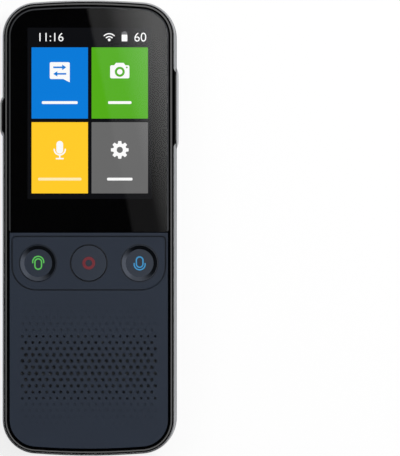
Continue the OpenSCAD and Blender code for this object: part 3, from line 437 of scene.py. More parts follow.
def new_piece(name, mesh, materials, body, node=None):
    """An object of that mesh that rides on a body, and may stand for a CAD node."""
    piece = new_object(name, mesh)
    for material in materials:
        if material.name not in mesh.materials:
            mesh.materials.append(material)
    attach(piece, body)
    if node:
        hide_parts(node)
    return piece


def smooth(shape):
    """Makes all faces smooth, and sharp the edges whose faces meet at more than the crease."""
    for face in shape.faces:
        face.smooth = True
    for edge in shape.edges:
        edge.smooth = edge.calc_face_angle(0.0) < CREASE


def to_mesh(shape, name):
    """A new mesh from a shape, which is then given up."""
    mesh = bpy.data.meshes.new(name)
    shape.to_mesh(mesh)
    shape.free()
    return mesh


def moulded(node, name, materials, body, further=None, cuts=()):
    """A merged copy of a CAD node with smooth faces and hard creases, in its place. A test
    tells by a face's corners which further material the face takes, and the copy is divided
    beforehand across Y where that test has its limits."""
    shape = bmesh.new()
    shape.from_mesh(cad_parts[node].data)
    bmesh.ops.remove_doubles(shape, verts=shape.verts, dist=MERGE_DISTANCE)
    for y in cuts:
        everything = shape.verts[:] + shape.edges[:] + shape.faces[:]
        bmesh.ops.bisect_plane(shape, geom=everything, plane_co=(0, y, 0), plane_no=(0, 1, 0))
    if further:
        for face in shape.faces:
            face.material_index = int(further([v.co for v in face.verts]))
    smooth(shape)
    mesh = to_mesh(shape, name)
    if "custom_normal" in mesh.attributes:
        mesh.attributes.remove(mesh.attributes["custom_normal"])
    piece = new_piece(name, mesh, materials, body, node)
    weights = piece.modifiers.new("flat faces stay flat", "WEIGHTED_NORMAL")
    weights.keep_sharp = True


def paint(nodes, material):
    """Gives CAD nodes their material."""
    for node in nodes:
        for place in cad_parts[node].material_slots:
            place.material = material


def middle(node):
    """The middle of a CAD node's box."""
    low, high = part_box(node)
    return (Vector(low) + Vector(high)) / 2


def top_of(node):
    """The highest level of a CAD node."""
    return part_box(node)[1][2]


def top_at(node, place):
    """The level of a CAD node's uppermost face at a place."""
    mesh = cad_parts[node].data
    corners = [v.co for v in mesh.vertices]
    faces = BVHTree.FromPolygons(corners, [tuple(face.vertices) for face in mesh.polygons])
    hit = faces.ray_cast(Vector((place[0], place[1], 1)), Vector((0, 0, -1)))[0]
    if hit is None:
        raise RuntimeError(f"{node} has no face at that place")
    return hit.z


def arc(cx, cy, radius, start, end):
    """Points along an arc, from one angle to the other, both in degrees."""
    start, end = math.radians(start), math.radians(end)
    steps = max(2, math.ceil(abs(end - start) / ARC_STEP))
    turns = [start + (end - start) * i / steps for i in range(steps + 1)]
    return [(cx + radius * math.cos(t), cy + radius * math.sin(t)) for t in turns]


def disc(cx, cy, radius):
    """A full circle."""
    return arc(cx, cy, radius, 0, 360)[:-1]


def round_rect(cx, cy, width, height, radius):
    """A rectangle with round corners."""
    x, y = width / 2 - radius, height / 2 - radius
    outline = []
    for i, (dx, dy) in enumerate(((x, y), (-x, y), (-x, -y), (x, -y))):
        outline += arc(cx + dx, cy + dy, radius, 90 * i, 90 * i + 90)
    return outline


def placed(outline, cx, cy, way=1):
    """An outline about its middle, set at a place, and mirrored there where way is -1."""
    return [(cx + way * x, cy + y) for x, y in outline]


def arc_band(cx, cy, radius, stroke, start, end):
    """A stroke along an arc, with round ends."""
    outer, inner = radius + stroke / 2, radius - stroke / 2
    last, first = math.radians(end), math.radians(start)
    tip = (cx + radius * math.cos(last), cy + radius * math.sin(last))
    tail = (cx + radius * math.cos(first), cy + radius * math.sin(first))
    return (
        arc(cx, cy, outer, start, end)
        + arc(*tip, stroke / 2, end, end + 180)[1:-1]
        + arc(cx, cy, inner, end, start)
        + arc(*tail, stroke / 2, start + 180, start + 360)[1:-1]
    )


def flat_mesh(name, shapes, level, place=(0, 0)):
    """A thin closed sheet. Each shape is a list of outlines in millimetres, the first
    outside and the rest holes in it, moved to a place in metres."""
    sheet = bmesh.new()
    for outlines in shapes:
        edges = []
        for outline in outlines:
            corners = dict.fromkeys((round(x, 5), round(y, 5)) for x, y in outline)
            ring = [
                sheet.verts.new((place[0] + x * MM, place[1] + y * MM, level)) for x, y in corners
            ]
            edges += [sheet.edges.new((a, b)) for a, b in zip(ring, ring[1:] + ring[:1])]
        bmesh.ops.triangle_fill(sheet, edges=edges, use_beauty=True, normal=(0, 0, 1))
    raised = bmesh.ops.extrude_face_region(sheet, geom=sheet.faces[:])
    new = [v for v in raised["geom"] if isinstance(v, bmesh.types.BMVert)]
    bmesh.ops.translate(sheet, verts=new, vec=(0, 0, PRINT_THICKNESS))
    bmesh.ops.recalc_face_normals(sheet, faces=sheet.faces)
    return to_mesh(sheet, name)


def turned_mesh(name, profile, place, steps=TURNED_STEPS):
    """A closed profile of radius and height, in millimetres, turned round +Z at a place."""
    shape = bmesh.new()
    turns = [2 * math.pi * i / steps for i in range(steps)]
    rings = []
    for radius, height in profile:
        places = [(radius * MM * math.cos(t), radius * MM * math.sin(t)) for t in turns]
        if radius == 0:
            places = [(0, 0)]
        rings.append([shape.verts.new((x, y, height * MM)) for x, y in places])
    pairs = list(zip(rings, rings[1:]))
    if len(rings[0]) > 1:
        pairs.append((rings[-1], rings[0]))
    for low, high in pairs:
        for i in range(steps):
            j = (i + 1) % steps
            corners = [low[i % len(low)], low[j % len(low)], high[j % len(high)], high[i % len(high)]]
            corners = list(dict.fromkeys(corners))
            if len(corners) > 2:
                shape.faces.new(corners)
    bmesh.ops.translate(shape, verts=shape.verts, vec=place)
    bmesh.ops.recalc_face_normals(shape, faces=shape.faces)
    smooth(shape)
    return to_mesh(shape, name)


def digits_mesh(name, text, height, centre, level):
    """Plain digits of that height, centred on a place, as a thin closed sheet."""
    data = bpy.data.curves.new(name, "FONT")
    data.body = text
    data.extrude = PRINT_THICKNESS / 2
    data.offset = DIGIT_THINNING
    mesh = as_mesh(new_object(name, data))
    xs = [v.co.x for v in mesh.vertices]
    ys = [v.co.y for v in mesh.vertices]
    scale = height / (max(ys) - min(ys))
    for vertex in mesh.vertices:
        vertex.co.x = centre[0] + (vertex.co.x - (min(xs) + max(xs)) / 2) * scale
        vertex.co.y = centre[1] + (vertex.co.y - (min(ys) + max(ys)) / 2) * scale
        vertex.co.z += level + PRINT_THICKNESS / 2
    sheet = bmesh.new()
    sheet.from_mesh(mesh)
    bmesh.ops.remove_doubles(sheet, verts=sheet.verts, dist=MERGE_DISTANCE)
    bmesh.ops.recalc_face_normals(sheet, faces=sheet.faces)
    sheet.to_mesh(mesh)
    sheet.free()
    return mesh


# ------------------------------------------------------------------ operators


def steep(corners):
    """Whether a face stands up from the front by more than a gentle slope."""
    return abs(normal(corners).z) < STEEP


def above(level):
    """A test for faces that lie above a level."""
    return lambda corners: min(corner.z for corner in corners) > level


class TRANSLATOR_OT_housing(bpy.types.Operator):
    """Finish the rear shell and its lip, the rim, the front panel and the key plate"""

    bl_idname = "translator.housing"
    bl_label = "Housing"

    def execute(self, context):
        look = context.scene.translator_finishes
        # Black of painted shade, for the grooves beside the rim and the lip beside the side keys.
        matt = finish("black ABS in painted shade", look.rim)
        coat = finish("sprayed soft-touch paint", look.shell)
        # The shell's soft-touch paint, the silver of painted highlight on its lip, and the black of
        # painted shade beside the side keys.
        shell = [coat, finish("painted highlight silver", look.lip), matt]
        # The steep walls of the panel and the key plate take the near black of painted shade.
        panel = [finish("spark textured ABS", look.panel), finish("ABS walls in painted shade")]
        rim = [matt, finish("polished black ABS", look.rim)]
        top = top_of("rear_shell")
        lip, flank = above(top - LIP_HEIGHT), above(top - FLANK_HEIGHT)
        inner_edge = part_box("rear_shell")[1][0] - LIP_WIDTH
        spans = [(side, *self.span(node)) for node, (side, _, _) in SIDE_KEYS.items()]

        def lip_highlight_and_shade(corners):
            """The lip takes the silver of a painted highlight, but beside the side keys a matt black
            of painted shade down to its flank. The black runs out to the side over a short way at both
            ends of a key."""
            x, y = (sum(corner[i] for corner in corners) / len(corners) for i in (0, 1))
            for side, low, high in spans:
                run_in = min(y - low, high - y)
                reach = inner_edge + LIP_WIDTH * run_in / KEY_RUN_IN
                if run_in > 0 and 0 < x * side < reach:
                    return 2 * flank(corners)
            return lip(corners)

        steps = [KEY_RUN_IN * i / RUN_IN_STEPS for i in range(RUN_IN_STEPS + 1)]
        cuts = [y for _, low, high in spans for step in steps for y in (low + step, high - step)]
        ledge = above(top_of("front_frame") - RIM_HEIGHT)
        moulded("rear_shell", "rear_shell_moulding", shell, HOUSING, lip_highlight_and_shade, cuts)
        moulded("front_frame", "front_rim_moulding", rim, HOUSING, ledge)
        moulded("front_panel", "front_panel_moulding", panel, HOUSING, steep)
        moulded("key_plate", "key_plate_moulding", panel, HOUSING, steep)
        return {"FINISHED"}

    def span(self, node):
        """Where the crown of a side key begins and ends along Y, between its flanges."""
        low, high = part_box(node)
        return low[1] + KEY_FLANGE, high[1] - KEY_FLANGE


class TRANSLATOR_OT_keys(bpy.types.Operator):
    """Finish the front keys and the side keys"""

    bl_idname = "translator.keys"
    bl_label = "Keys"

    def execute(self, context):
        look = context.scene.translator_finishes
        # The dish walls of the caps take the near black of painted shade.
        cap = [finish("fine blasted ABS", look.panel), finish("ABS walls in painted shade")]
        for key in ("left", "centre", "right"):
            moulded(f"key_{key}", f"{key}_key_cap", cap, f"{key}_key", steep)
        # The silver line on each side key is a painted highlight.
        side = [finish("polished black ABS", look.rim), finish("painted highlight silver", look.lip)]
        for node, (_, body, width) in SIDE_KEYS.items():
            self.side_key(node, body, side, width)
        return {"FINISHED"}

    def side_key(self, node, body, materials, width):
        """A polished black key with a silver line of painted highlight, of that width, along the
        upper edge of its crown."""
        upper = above(middle(node).z + KEY_LINE_RISE)
        edge = max(abs(corner[0]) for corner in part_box(node)) - width

        def painted_highlight_line(corners):
            return upper(corners) and min(abs(corner.x) for corner in corners) > edge

        moulded(node, f"{node}_cap", materials, body, painted_highlight_line)


class TRANSLATOR_OT_key_marks(bpy.types.Operator):
    """Print the marks of the three front keys"""

    bl_idname = "translator.key_marks"
    bl_label = "Key marks"

    # Sizes are in millimetres and angles in degrees.
    capsule_width = 2.3
    capsule_height = 3.4
    capsule_stroke = 0.38
    capsule_offset = 0.28
    arch_radius = 1.6
    arch_stroke = 0.36
    arch_offset = 0.35
    arch_start = -8
    arch_turn = 196
    ring_outer = 1.85
    ring_inner = 1.0

    def speaking_mark(self, up):
        """A capsule under an arch, or over one where up is -1."""
        cy = -up * self.capsule_offset
        wide, high, stroke = self.capsule_width, self.capsule_height, self.capsule_stroke
        capsule = [
            round_rect(0, cy, wide, high, wide / 2),
            round_rect(0, cy, wide - 2 * stroke, high - 2 * stroke, wide / 2 - stroke),
        ]
        start = self.arch_start if up > 0 else self.arch_start + 180
        arch = arc_band(
            0, up * self.arch_offset, self.arch_radius, self.arch_stroke, start, start + self.arch_turn
        )
        return [capsule, [arch]]

    def execute(self, context):
        look = context.scene.translator_finishes
        ring = [[disc(0, 0, self.ring_outer), disc(0, 0, self.ring_inner)]]
        marks = {
            "left": (look.left_mark, self.speaking_mark(1)),
            "centre": (look.centre_mark, ring),
            "right": (look.right_mark, self.speaking_mark(-1)),
        }
        for key, (colour, shapes) in marks.items():
            at = middle(f"key_{key}")
            level = top_at(f"key_{key}", at)
            ink = finish("pad printed ink", colour, f"pad printed {key} key ink")
            mesh = flat_mesh(f"{key}_key_mark", shapes, level, place=(at.x, at.y))
            new_piece(f"{key}_key_mark", mesh, [ink], f"{key}_key")
        return {"FINISHED"}


class TRANSLATOR_OT_display(bpy.types.Operator):
    """Print the border of the cover glass and bond the lit picture to its back"""

    bl_idname = "translator.display"
    bl_label = "Display"

    # The border and the layers of the picture lie just inside the back of the glass.
    border_rise = 0.005 * MM
    border_share = 0.9987
    layer = 0.012 * MM
    # All that follows is in millimetres. Row 1 is the upper one, and -1 the lower.
    shift = 0.25
    lit_middle = 33.35
    tiles_middle = 31.29
    corner = 0.12
    icon_rise = {1: 3.4, -1: 2.3}
    label_drop = {1: 5.7, -1: 6.2}
    label_height = 0.8
    label_corner = 0.3
    label_widths = {"talk": 10.4, "camera": 6.8, "record": 12.6, "options": 7.4}
    # Places on the status bar are measured from its middle, to the right and up.
    status_level = 55.5
    clock_height = 2.45
    clock_place = -11.15
    charge_height = 2.6
    charge_place = 14.7
    signal_place = (5.65, -1.05)
    signal_radii = (1.2, 2.05)
    signal_stroke = 0.34
    # The rise of the dot over the middle of the arcs, and its radius.
    signal_dot = (0.25, 0.4)
    battery_place = (10.1, 0.15)
    # Each bar of the battery: its rise, width, height and corner.
    battery_full = (-0.4, 1.65, 1.95, 0.1)
    battery_empty = (0.9, 1.65, 0.62, 0.1)
    battery_cap = (1.38, 0.75, 0.3, 0.05)

    def execute(self, context):
        look = context.scene.translator_finishes
        size = context.scene.translator_display
        glow = size.brightness
        self.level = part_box("cover_glass")[0][2] + self.layer
        self.white = lit_pixels("lit white pixels", linear("f8f8f8"), glow)
        self.soft = lit_pixels("lit cream pixels", linear("fbe9b4"), glow)
        self.dim = lit_pixels("lit dim pixels", linear("707073"), glow)
        lit = round_rect(
            self.shift, self.lit_middle, size.lit_width / MM, size.lit_height / MM, self.corner
        )
        self.sheet("display_ground", [[lit]], 0, lit_pixels("dark pixels", look.unlit, glow))
        self.cover(look, lit)
        width, height = size.tile_width / MM, size.tile_height / MM
        x, y = (width + size.tile_gap / MM) / 2, (height + size.tile_gap / MM) / 2
        tiles = {
            "talk": (-x, y, look.talk_tile, self.talk_icon),
            "camera": (x, y, look.camera_tile, self.camera_icon),
            "record": (-x, -y, look.record_tile, self.record_icon),
            "options": (x, -y, look.options_tile, self.options_icon),
        }
        for name, (dx, dy, colour, icon) in tiles.items():
            cx, cy = self.shift + dx, self.tiles_middle + dy
            pixels = lit_pixels(f"lit {name} pixels", colour, glow)
            self.sheet(f"{name}_tile", [[round_rect(cx, cy, width, height, self.corner)]], 1, pixels)
            row = 1 if dy > 0 else -1
            icon(cx, cy + self.icon_rise[row], pixels)
            cy -= self.label_drop[row]
            bar = round_rect(cx, cy, self.label_widths[name], self.label_height, self.label_corner)
            self.sheet(f"{name}_label", [[bar]], 2, self.soft if name == "record" else self.white)
        self.status_bar()
        return {"FINISHED"}

    def cover(self, look, lit):
        """The pane and the black border in its back, open round the lit area."""
        # The chamfer's faint glow is a painted highlight.
        glass = [finish("polished toughened glass"), finish("glass chamfer with painted glow")]
        top = top_of("cover_glass")

        def chamfer(corners):
            """The sloping faces round the front of the pane."""
            return top - CHAMFER_HEIGHT < min(corner.z for corner in corners) < top - TOP_FACE

        moulded("cover_glass", "cover_glass_pane", glass, HOUSING, chamfer)
        at = middle("cover_glass")
        places = [v.co.xy - at.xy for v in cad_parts["cover_glass"].data.vertices]
        hull = [places[i] * self.border_share + at.xy for i in convex_hull_2d(places)]
        outline = [(place.x / MM, place.y / MM) for place in hull]
        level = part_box("cover_glass")[0][2] + self.border_rise
        mesh = flat_mesh("cover_border", [[outline, lit]], level)
        ink = finish("fired black ink", look.border)
        new_piece("cover_border", mesh, [ink], HOUSING)

    def sheet(self, name, shapes, layer, material):
        """One layer of the picture."""
        mesh = flat_mesh(name, shapes, self.level + layer * self.layer)
        new_piece(name, mesh, [material], HOUSING)

    def talk_icon(self, cx, cy, tile):
        """A speech bubble with two arrows that point to and fro."""
        width, height, corner, rise = 5.8, 4.9, 0.4, 0.2
        cy += rise
        tail = [(0.9, -2.4), (2.9, -3.4), (2.9, -1.6)]
        bubble = round_rect(cx, cy, width, height, corner)
        self.sheet("talk_bubble", [[bubble], [placed(tail, cx, cy)]], 2, self.white)
        spread, tip, neck, shaft, head = 0.95, 1.9, 0.7, 0.24, 0.8
        upper = [(-tip, shaft), (neck, shaft), (neck, head), (tip, 0)]
        arrow = upper + [(x, -y) for x, y in upper[2::-1]]
        arrows = [[placed(arrow, cx, cy + way * spread, way)] for way in (1, -1)]
        self.sheet("talk_arrows", arrows, 3, tile)

    def camera_icon(self, cx, cy, tile):
        """A camera with its lens and its lamp."""
        width, height, drop, corner = 5.6, 3.8, 0.15, 0.45
        hump = [(-1.7, 1.7), (-1.1, 2.45), (1.1, 2.45), (1.7, 1.7)]
        body = round_rect(cx, cy - drop, width, height, corner)
        self.sheet("camera_body_sign", [[body], [placed(hump, cx, cy)]], 2, self.white)
        lens_outer, lens_inner, lamp, lamp_x, lamp_y = 1.45, 0.8, 0.25, 2.05, 1.1
        ring = [disc(cx, cy - drop, radius) for radius in (lens_outer, lens_inner)]
        self.sheet("camera_lens_sign", [ring, [disc(cx + lamp_x, cy + lamp_y, lamp)]], 3, tile)

    def bars(self, cx, cy, sizes):
        """Upright bars with round corners, each given by its rise, width, height and corner."""
        return [[round_rect(cx, cy + rise, *size)] for rise, *size in sizes]

    def record_icon(self, cx, cy, tile):
        """A microphone on its stand."""
        stroke, radius, rise = 0.42, 1.6, 0.15
        capsule = (0.75, 1.95, 3.7, 0.97)
        stand = (-1.95, stroke, 0.9, 0.05)
        foot = (-2.55, 2.3, stroke, 0.1)
        cradle = [arc_band(cx, cy + rise, radius, stroke, 180, 360)]
        capsule, stand, foot = self.bars(cx, cy, (capsule, stand, foot))
        self.sheet("record_sign", [capsule, cradle, stand, foot], 2, self.white)

    def options_icon(self, cx, cy, tile):
        """A toothed wheel."""
        teeth, bore, valley, crest = 8, 0.9, 1.9, 2.6
        half_root, half_tip = 0.3, 0.17
        tooth = ((-half_root, valley), (-half_tip, crest), (half_tip, crest), (half_root, valley))
        outline = []
        for i in range(teeth):
            for angle, radius in tooth:
                turn = 2 * math.pi * i / teeth + angle
                outline.append((cx + radius * math.cos(turn), cy + radius * math.sin(turn)))
        self.sheet("options_sign", [[outline, disc(cx, cy, bore)]], 2, self.white)

    def status_bar(self):
        """Clock, signal, battery and its charge along the upper edge."""
        level = self.level + self.layer
        digits = {
            "clock_digits": ("11:16", self.clock_height, self.clock_place),
            "charge_digits": ("60", self.charge_height, self.charge_place),
        }
        for name, (text, height, x) in digits.items():
            centre = ((x + self.shift) * MM, self.status_level * MM)
            mesh = digits_mesh(name, text, height * MM, centre, level)
            new_piece(name, mesh, [self.white], HOUSING)
        cx, cy = self.signal_place[0] + self.shift, self.signal_place[1] + self.status_level
        stroke = self.signal_stroke
        bands = [[arc_band(cx, cy, radius, stroke, 45, 135)] for radius in self.signal_radii]
        rise, dot = self.signal_dot
        bands.append([disc(cx, cy + rise, dot)])
        self.sheet("signal_sign", bands, 1, self.white)
        cx, cy = self.battery_place[0] + self.shift, self.battery_place[1] + self.status_level
        self.sheet("battery_full_sign", self.bars(cx, cy, [self.battery_full]), 1, self.white)
        rest = self.bars(cx, cy, (self.battery_empty, self.battery_cap))
        self.sheet("battery_empty_sign", rest, 1, self.dim)


class TRANSLATOR_OT_speaker(bpy.types.Operator):
    """Weave the cloth of fine wires behind the grille"""

    bl_idname = "translator.speaker"
    bl_label = "Speaker cloth"

    def cloth_tree(self, thread):
        """A node tree that lays one row of wires along X and one along Y."""
        tree = bpy.data.node_groups.new("wire cloth", "GeometryNodeTree")
        face = tree.interface
        face.new_socket("Geometry", in_out="OUTPUT", socket_type="NodeSocketGeometry")
        sizes = {}
        for name in ("Width", "Length", "Pitch", "Wire"):
            socket = face.new_socket(name, in_out="INPUT", socket_type="NodeSocketFloat")
            socket.subtype = "DISTANCE"
            sizes[name] = socket.identifier
        given = add(tree, "NodeGroupInput").outputs
        join = add(tree, "GeometryNodeJoinGeometry")
        for along, across, run, step, side in (
            ("Width", "Length", "X", "Y", -0.5),
            ("Length", "Width", "Y", "X", 0.5),
        ):
            counted = {0: given[across], 1: given["Pitch"]}
            count = add(tree, "ShaderNodeMath", {"operation": "DIVIDE"}, counted)
            halved = {0: given[across], 1: -0.5}
            half = add(tree, "ShaderNodeMath", {"operation": "MULTIPLY"}, halved)
            start = add(tree, "ShaderNodeCombineXYZ", inputs={step: half.outputs[0]})
            offset = add(tree, "ShaderNodeCombineXYZ", inputs={step: given["Pitch"]})
            row = {
                "Count": count.outputs[0],
                "Start Location": start.outputs[0],
                "Offset": offset.outputs[0],
            }
            line = add(tree, "GeometryNodeMeshLine", {"mode": "OFFSET"}, row)
            lengths = {run: given[along], step: given["Wire"], "Z": given["Wire"]}
            size = add(tree, "ShaderNodeCombineXYZ", inputs=lengths)
            wire = add(tree, "GeometryNodeMeshCube", inputs={"Size": size.outputs[0]})
            lifted = {0: given["Wire"], 1: side}
            lift = add(tree, "ShaderNodeMath", {"operation": "MULTIPLY"}, lifted)
            raised = add(tree, "ShaderNodeCombineXYZ", inputs={"Z": lift.outputs[0]})
            move = {"Geometry": wire.outputs[0], "Translation": raised.outputs[0]}
            moved = add(tree, "GeometryNodeTransform", inputs=move)
            rows = {"Points": line.outputs[0], "Instance": moved.outputs[0]}
            laid = add(tree, "GeometryNodeInstanceOnPoints", inputs=rows)
            tree.links.new(laid.outputs[0], join.inputs[0])
        real = add(tree, "GeometryNodeRealizeInstances", inputs={"Geometry": join.outputs[0]})
        coated = {"Geometry": real.outputs[0], "Material": thread}
        coat = add(tree, "GeometryNodeSetMaterial", inputs=coated)
        add(tree, "NodeGroupOutput", inputs={"Geometry": coat.outputs[0]})
        return tree, sizes

    def execute(self, context):
        size = context.scene.translator_speaker
        thread = finish("dyed polyester thread")
        low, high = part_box("grille_mesh")
        tree, sockets = self.cloth_tree(thread)
        weaver = new_object("cloth_weaver", bpy.data.meshes.new("cloth_blank"))
        weave = weaver.modifiers.new("wire cloth", "NODES")
        weave.node_group = tree
        values = {
            "Width": high[0] - low[0],
            "Length": high[1] - low[1],
            "Pitch": size.wire_pitch,
            "Wire": size.wire_width,
        }
        for name, value in values.items():
            weave[sockets[name]] = value
        mesh = as_mesh(weaver)
        mesh.transform(Matrix.Translation(middle("grille_mesh")))
        new_piece("speaker_cloth", mesh, [thread], HOUSING, "grille_mesh")
        return {"FINISHED"}


class TRANSLATOR_OT_camera(bpy.types.Operator):
    """Finish the rear camera: ring, window, lens and flash"""

    bl_idname = "translator.camera"
    bl_label = "Rear camera"

    def execute(self, context):
        at = middle("camera_ring")
        ring = [finish("black anodised aluminium", centre=(at.x, at.y, 0))]
        window = [finish("polished camera window")]
        mask = finish("screen printed black ink")
        moulded("camera_ring", "camera_ring_turned", ring, HOUSING)
        moulded("camera_window", "camera_window_pane", window, HOUSING)
        paint(["camera_mask", "camera_module", "rear_mic_boot"], mask)
        self.lens()
        self.flash()
        return {"FINISHED"}

    def lens(self):
        """A barrel with stepped baffles, and in it a domed and coated front element."""
        low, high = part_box("camera_lens")
        at = middle("camera_lens")
        radius = (high[0] - low[0]) / 2 / MM
        depth = (high[2] - low[2]) / MM
        place = (at.x, at.y, low[2])
        floor, dome, rim, gap = 1.0, 0.45, 1.35, 0.02
        # Each baffle's inset and depth, from the innermost outwards.
        baffles = ((1.3, 0.62), (1.0, 0.4), (0.7, 0.2), (0.35, 0.0))
        profile = [(radius, 0.0), (radius, depth), (0, depth), (0, floor)]
        lower = floor
        for inset, height in baffles:
            profile += [(radius - inset, lower), (radius - inset, height)]
            lower = height
        mesh = turned_mesh("lens_barrel", profile, place)
        barrel = finish("turned blue grey barrel", centre=(at.x, at.y, 0))
        new_piece("lens_barrel", mesh, [barrel], HOUSING, "camera_lens")
        inner, base, turns = radius - rim, floor - gap, 10
        element = [(0, base), (inner, base)]
        for i in range(1, turns):
            angle = math.pi / 2 * i / turns
            element.append((inner * math.cos(angle), base - dome * math.sin(angle)))
        element.append((0, base - dome))
        mesh = turned_mesh("lens_element", element, place, SMALL_STEPS)
        new_piece("lens_element", mesh, [finish("coated front element")], HOUSING)

    def flash(self):
        """A milky diffuser with a plain rim round rings of fine ridges."""
        low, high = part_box("flash_lens")
        at = middle("flash_lens")
        radius = (high[0] - low[0]) / 2 / MM
        rim, ridges, valley, peak, back = 0.3, 6, 0.14, 0.04, 1.2
        profile = [(0, back), (radius, back), (radius, 0.0), (radius - rim, 0.0)]
        step = (radius - rim) / ridges
        for i in range(ridges):
            outer = radius - rim - i * step
            profile.append((outer, valley))
            if i < ridges - 1:
                profile.append((outer - step, peak))
        profile.append((0, (valley + peak) / 2))
        mesh = turned_mesh("flash_diffuser", profile, (at.x, at.y, low[2]), SMALL_STEPS)
        new_piece("flash_diffuser", mesh, [finish("milky acrylic")], HOUSING)


class TRANSLATOR_OT_inside(bpy.types.Operator):
    """Finish the pieces inside and the port"""

    bl_idname = "translator.inside"
    bl_label = "Inside"

    # The nodes of each finish.
    nodes = {
        "glass filled nylon": "speaker processor usb_tongue left_key_switch centre_key_switch"
        " right_key_switch",
        "white reflector film": "backlight display_connector battery_connector flash_led",
        "stamped stainless steel": "display_bracket speaker_magnet volume_switches power_switch"
        " usb_shell board_screws port_screws",
        "tinned steel sheet": "processor_shield radio_shield rear_microphone bottom_microphone",
        "green solder mask": "main_board port_board",
        "amber polyimide film": "display_flex board_link_flex antenna",
        "black cell foam": "speaker_gasket bottom_mic_boot",
        "matt laminate foil": "battery",
        "red acetal": "left_switch_stem centre_switch_stem right_switch_stem volume_switch_stems"
        " power_switch_stem",
        "gold plated contacts": "usb_contacts",
        "silicone lead sleeve": "battery_leads",
        "double sided tape": "battery_tape",
        "black polariser film": "lcd_cell touch_sensor glass_tape",
        "clear light pipe": "flash_lens",
    }

    def execute(self, context):
        for kind, nodes in self.nodes.items():
            paint(nodes.split(), finish(kind))
        return {"FINISHED"}


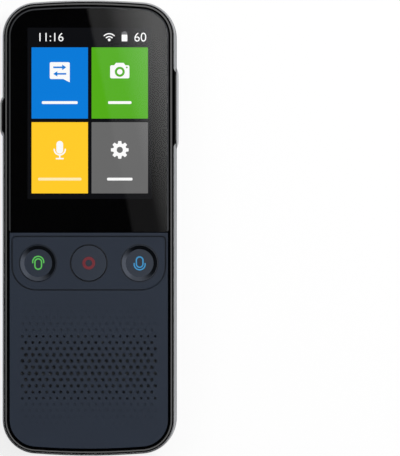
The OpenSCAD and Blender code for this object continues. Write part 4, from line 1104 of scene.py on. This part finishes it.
class TRANSLATOR_OT_studio(bpy.types.Operator):
    """Set up the floor, the room, the lamp and the camera"""

    bl_idname = "translator.studio"
    bl_label = "Studio"

    floor_half = 3.0
    own_light = 0.8
    softbox_place = (0.84, 0.59, 1.03)
    softbox_size = 0.8
    softbox_power = 17
    camera_range = (0.01, 20)
    # Each light of the room is a product of ramps. A ramp measures the direction that is
    # looked along on an axis, and between two of its values goes from one level to another:
    # (axis, first value, last value, first level, last level).
    up = (0, 0, 1)
    sunny = (0.77, 0.64, 0)
    north = (0, 1, 0)
    behind = (0.87, 0.5, 0)
    right = (0.966, 0.259, 0)
    window = (-0.6, 0.8, 0)
    ceiling = (0.9804, 0.1968, 0)
    slanted = (0.9733, 0.2321, 0)
    room = {
        "pale horizon": [(up, 0.065, 0.08, 1, 0)],
        "low walls": [(up, 0.065, 0.08, 0, 1), (up, 0.4, 0.46, 1, 0), (sunny, -0.2, 0.5, 0.03, 1.0)],
        "high walls": [(up, 0.4, 0.46, 0, 1), (up, 0.86, 0.94, 1, 0), (behind, 0.1, 0.8, 0.02, 0.9)],
        "high window": [
            (up, 0.55, 0.62, 0, 1),
            (up, 0.82, 0.88, 1, 0),
            (window, 0.2, 0.5, 0, 1.2),
        ],
        "low strip light": [
            (up, 0.12, 0.16, 0, 1),
            (up, 0.38, 0.44, 1, 0),
            (right, 0.62, 0.8, 0, 0.6),
        ],
        "ceiling": [(up, 0.86, 0.94, 0, 0.02)],
        "ceiling edge": [
            (up, 0.93, 0.96, 0, 1),
            (ceiling, -0.035, -0.033, 0, 0.17),
            (north, 0.03, 0.11, 1, 2.8),
        ],
        "ceiling light": [
            (up, 0.93, 0.96, 0, 1),
            (slanted, -0.021, 0.001, 0, 1.9),
            (slanted, 0.06, 0.12, 1, 0),
        ],
    }

    def floor(self, colour):
        """A matt floor. The eye, mirrors and glass see it nearly white, and its shadow."""
        mesh = bpy.data.meshes.new("floor")
        half = self.floor_half
        corners = [(-half, -half, 0), (half, -half, 0), (half, half, 0), (-half, half, 0)]
        mesh.from_pydata(corners, [], [(0, 1, 2, 3)])
        mesh.materials.append(self.paper(colour))
        new_object("floor", mesh)

    def paper(self, colour):
        """Studio paper that gives some light of its own to all but diffuse rays."""
        paper = finish("matt studio paper", colour)
        tree = paper.node_tree
        output = next(node for node in tree.nodes if node.type == "OUTPUT_MATERIAL")
        shaded = output.inputs["Surface"].links[0].from_socket
        seen = add(tree, "ShaderNodeLightPath").outputs
        by_eye = seen["Is Camera Ray"]
        for ray in ("Is Glossy Ray", "Is Transmission Ray"):
            either = {0: by_eye, 1: seen[ray]}
            by_eye = add(tree, "ShaderNodeMath", {"operation": "MAXIMUM"}, either).outputs[0]
        given = {0: by_eye, 1: self.own_light}
        share = add(tree, "ShaderNodeMath", {"operation": "MULTIPLY"}, given)
        white = add(tree, "ShaderNodeEmission", inputs={"Strength": 1.0})
        sides = {0: share.outputs[0], 1: shaded, 2: white.outputs[0]}
        mixed = add(tree, "ShaderNodeMixShader", inputs=sides)
        tree.links.new(mixed.outputs[0], output.inputs["Surface"])
        return paper

    def world(self):
        """A room that is seen by direction: a pale horizon, low and high walls that are lit
        on one side, a high window, a low strip light, and a dark ceiling with its light and
        that light's soft edge."""
        world = bpy.data.worlds.new("studio room")
        world.use_nodes = True
        tree = world.node_tree
        tree.nodes.clear()
        looked_along = add(tree, "ShaderNodeTexCoord").outputs["Generated"]
        total = None
        for ramps in self.room.values():
            strength = None
            for axis, start, end, low, high in ramps:
                dot = {0: looked_along, 1: axis}
                reach = add(tree, "ShaderNodeVectorMath", {"operation": "DOT_PRODUCT"}, dot)
                limits = {
                    "Value": reach.outputs["Value"],
                    "From Min": start,
                    "From Max": end,
                    "To Min": low,
                    "To Max": high,
                }
                step = add(tree, "ShaderNodeMapRange", inputs=limits).outputs[0]
                if strength is None:
                    strength = step
                    continue
                both = {0: strength, 1: step}
                strength = add(tree, "ShaderNodeMath", {"operation": "MULTIPLY"}, both).outputs[0]
            if total is None:
                total = strength
                continue
            total = add(tree, "ShaderNodeMath", inputs={0: total, 1: strength}).outputs[0]
        light = {"Color": opaque(linear("ffffff")), "Strength": total}
        background = add(tree, "ShaderNodeBackground", inputs=light)
        add(tree, "ShaderNodeOutputWorld", inputs={"Surface": background.outputs[0]})
        bpy.context.scene.world = world

    def lamp(self):
        """A square area lamp at the upper right that faces the middle of the floor."""
        data = bpy.data.lights.new("upper right softbox", "AREA")
        data.shape = "RECTANGLE"
        data.size = data.size_y = self.softbox_size
        data.energy = self.softbox_power
        lamp = new_object("upper right softbox", data)
        lamp.location = self.softbox_place
        lamp.visible_glossy = False
        lamp.rotation_euler = (-Vector(self.softbox_place)).to_track_quat("-Z", "Y").to_euler()

    def camera(self, studio):
        """A camera straight above, beside the translator's middle."""
        data = bpy.data.cameras.new("camera")
        data.sensor_fit = "HORIZONTAL"
        level = top_of("rear_shell")
        data.lens = data.sensor_width * (studio.camera_height - level) / studio.view_width
        data.clip_start, data.clip_end = self.camera_range
        camera = new_object("camera", data)
        camera.location = (studio.camera_side, 0, studio.camera_height)
        bpy.context.scene.camera = camera

    def execute(self, context):
        studio = context.scene.translator_studio
        self.floor(studio.floor_colour)
        self.world()
        self.lamp()
        self.camera(studio)
        context.scene.view_settings.view_transform = "Standard"
        return {"FINISHED"}


class TRANSLATOR_PT_panel(bpy.types.Panel):
    """Sizes, colours and steps of the translator"""

    bl_idname = "TRANSLATOR_PT_panel"
    bl_label = "Translator"
    bl_space_type = "VIEW_3D"
    bl_region_type = "UI"
    bl_category = "Translator"

    def draw(self, context):
        for group in GROUPS:
            settings = getattr(context.scene, group)
            box = self.layout.box()
            for name in settings.bl_rna.properties.keys():
                if name not in ("rna_type", "name"):
                    box.prop(settings, name)
        for operator in OPERATORS:
            self.layout.operator(operator.bl_idname)


GROUPS = {
    "translator_finishes": TranslatorFinishes,
    "translator_display": TranslatorDisplay,
    "translator_speaker": TranslatorSpeaker,
    "translator_studio": TranslatorStudio,
}
OPERATORS = (
    TRANSLATOR_OT_inside,
    TRANSLATOR_OT_housing,
    TRANSLATOR_OT_keys,
    TRANSLATOR_OT_key_marks,
    TRANSLATOR_OT_display,
    TRANSLATOR_OT_speaker,
    TRANSLATOR_OT_camera,
    TRANSLATOR_OT_studio,
)
CLASSES = (*GROUPS.values(), *OPERATORS, TRANSLATOR_PT_panel)


def register():
    for entry in CLASSES:
        bpy.utils.register_class(entry)
    for name, group in GROUPS.items():
        setattr(bpy.types.Scene, name, bpy.props.PointerProperty(type=group))


def unregister():
    for name in GROUPS:
        delattr(bpy.types.Scene, name)
    for entry in reversed(CLASSES):
        bpy.utils.unregister_class(entry)


def main():
    register()
    for operator in OPERATORS:
        group, name = operator.bl_idname.split(".")
        result = getattr(getattr(bpy.ops, group), name)()
        if result != {"FINISHED"}:
            raise RuntimeError(f"{operator.bl_idname} did not finish")


if __name__ == "__main__":
    main()
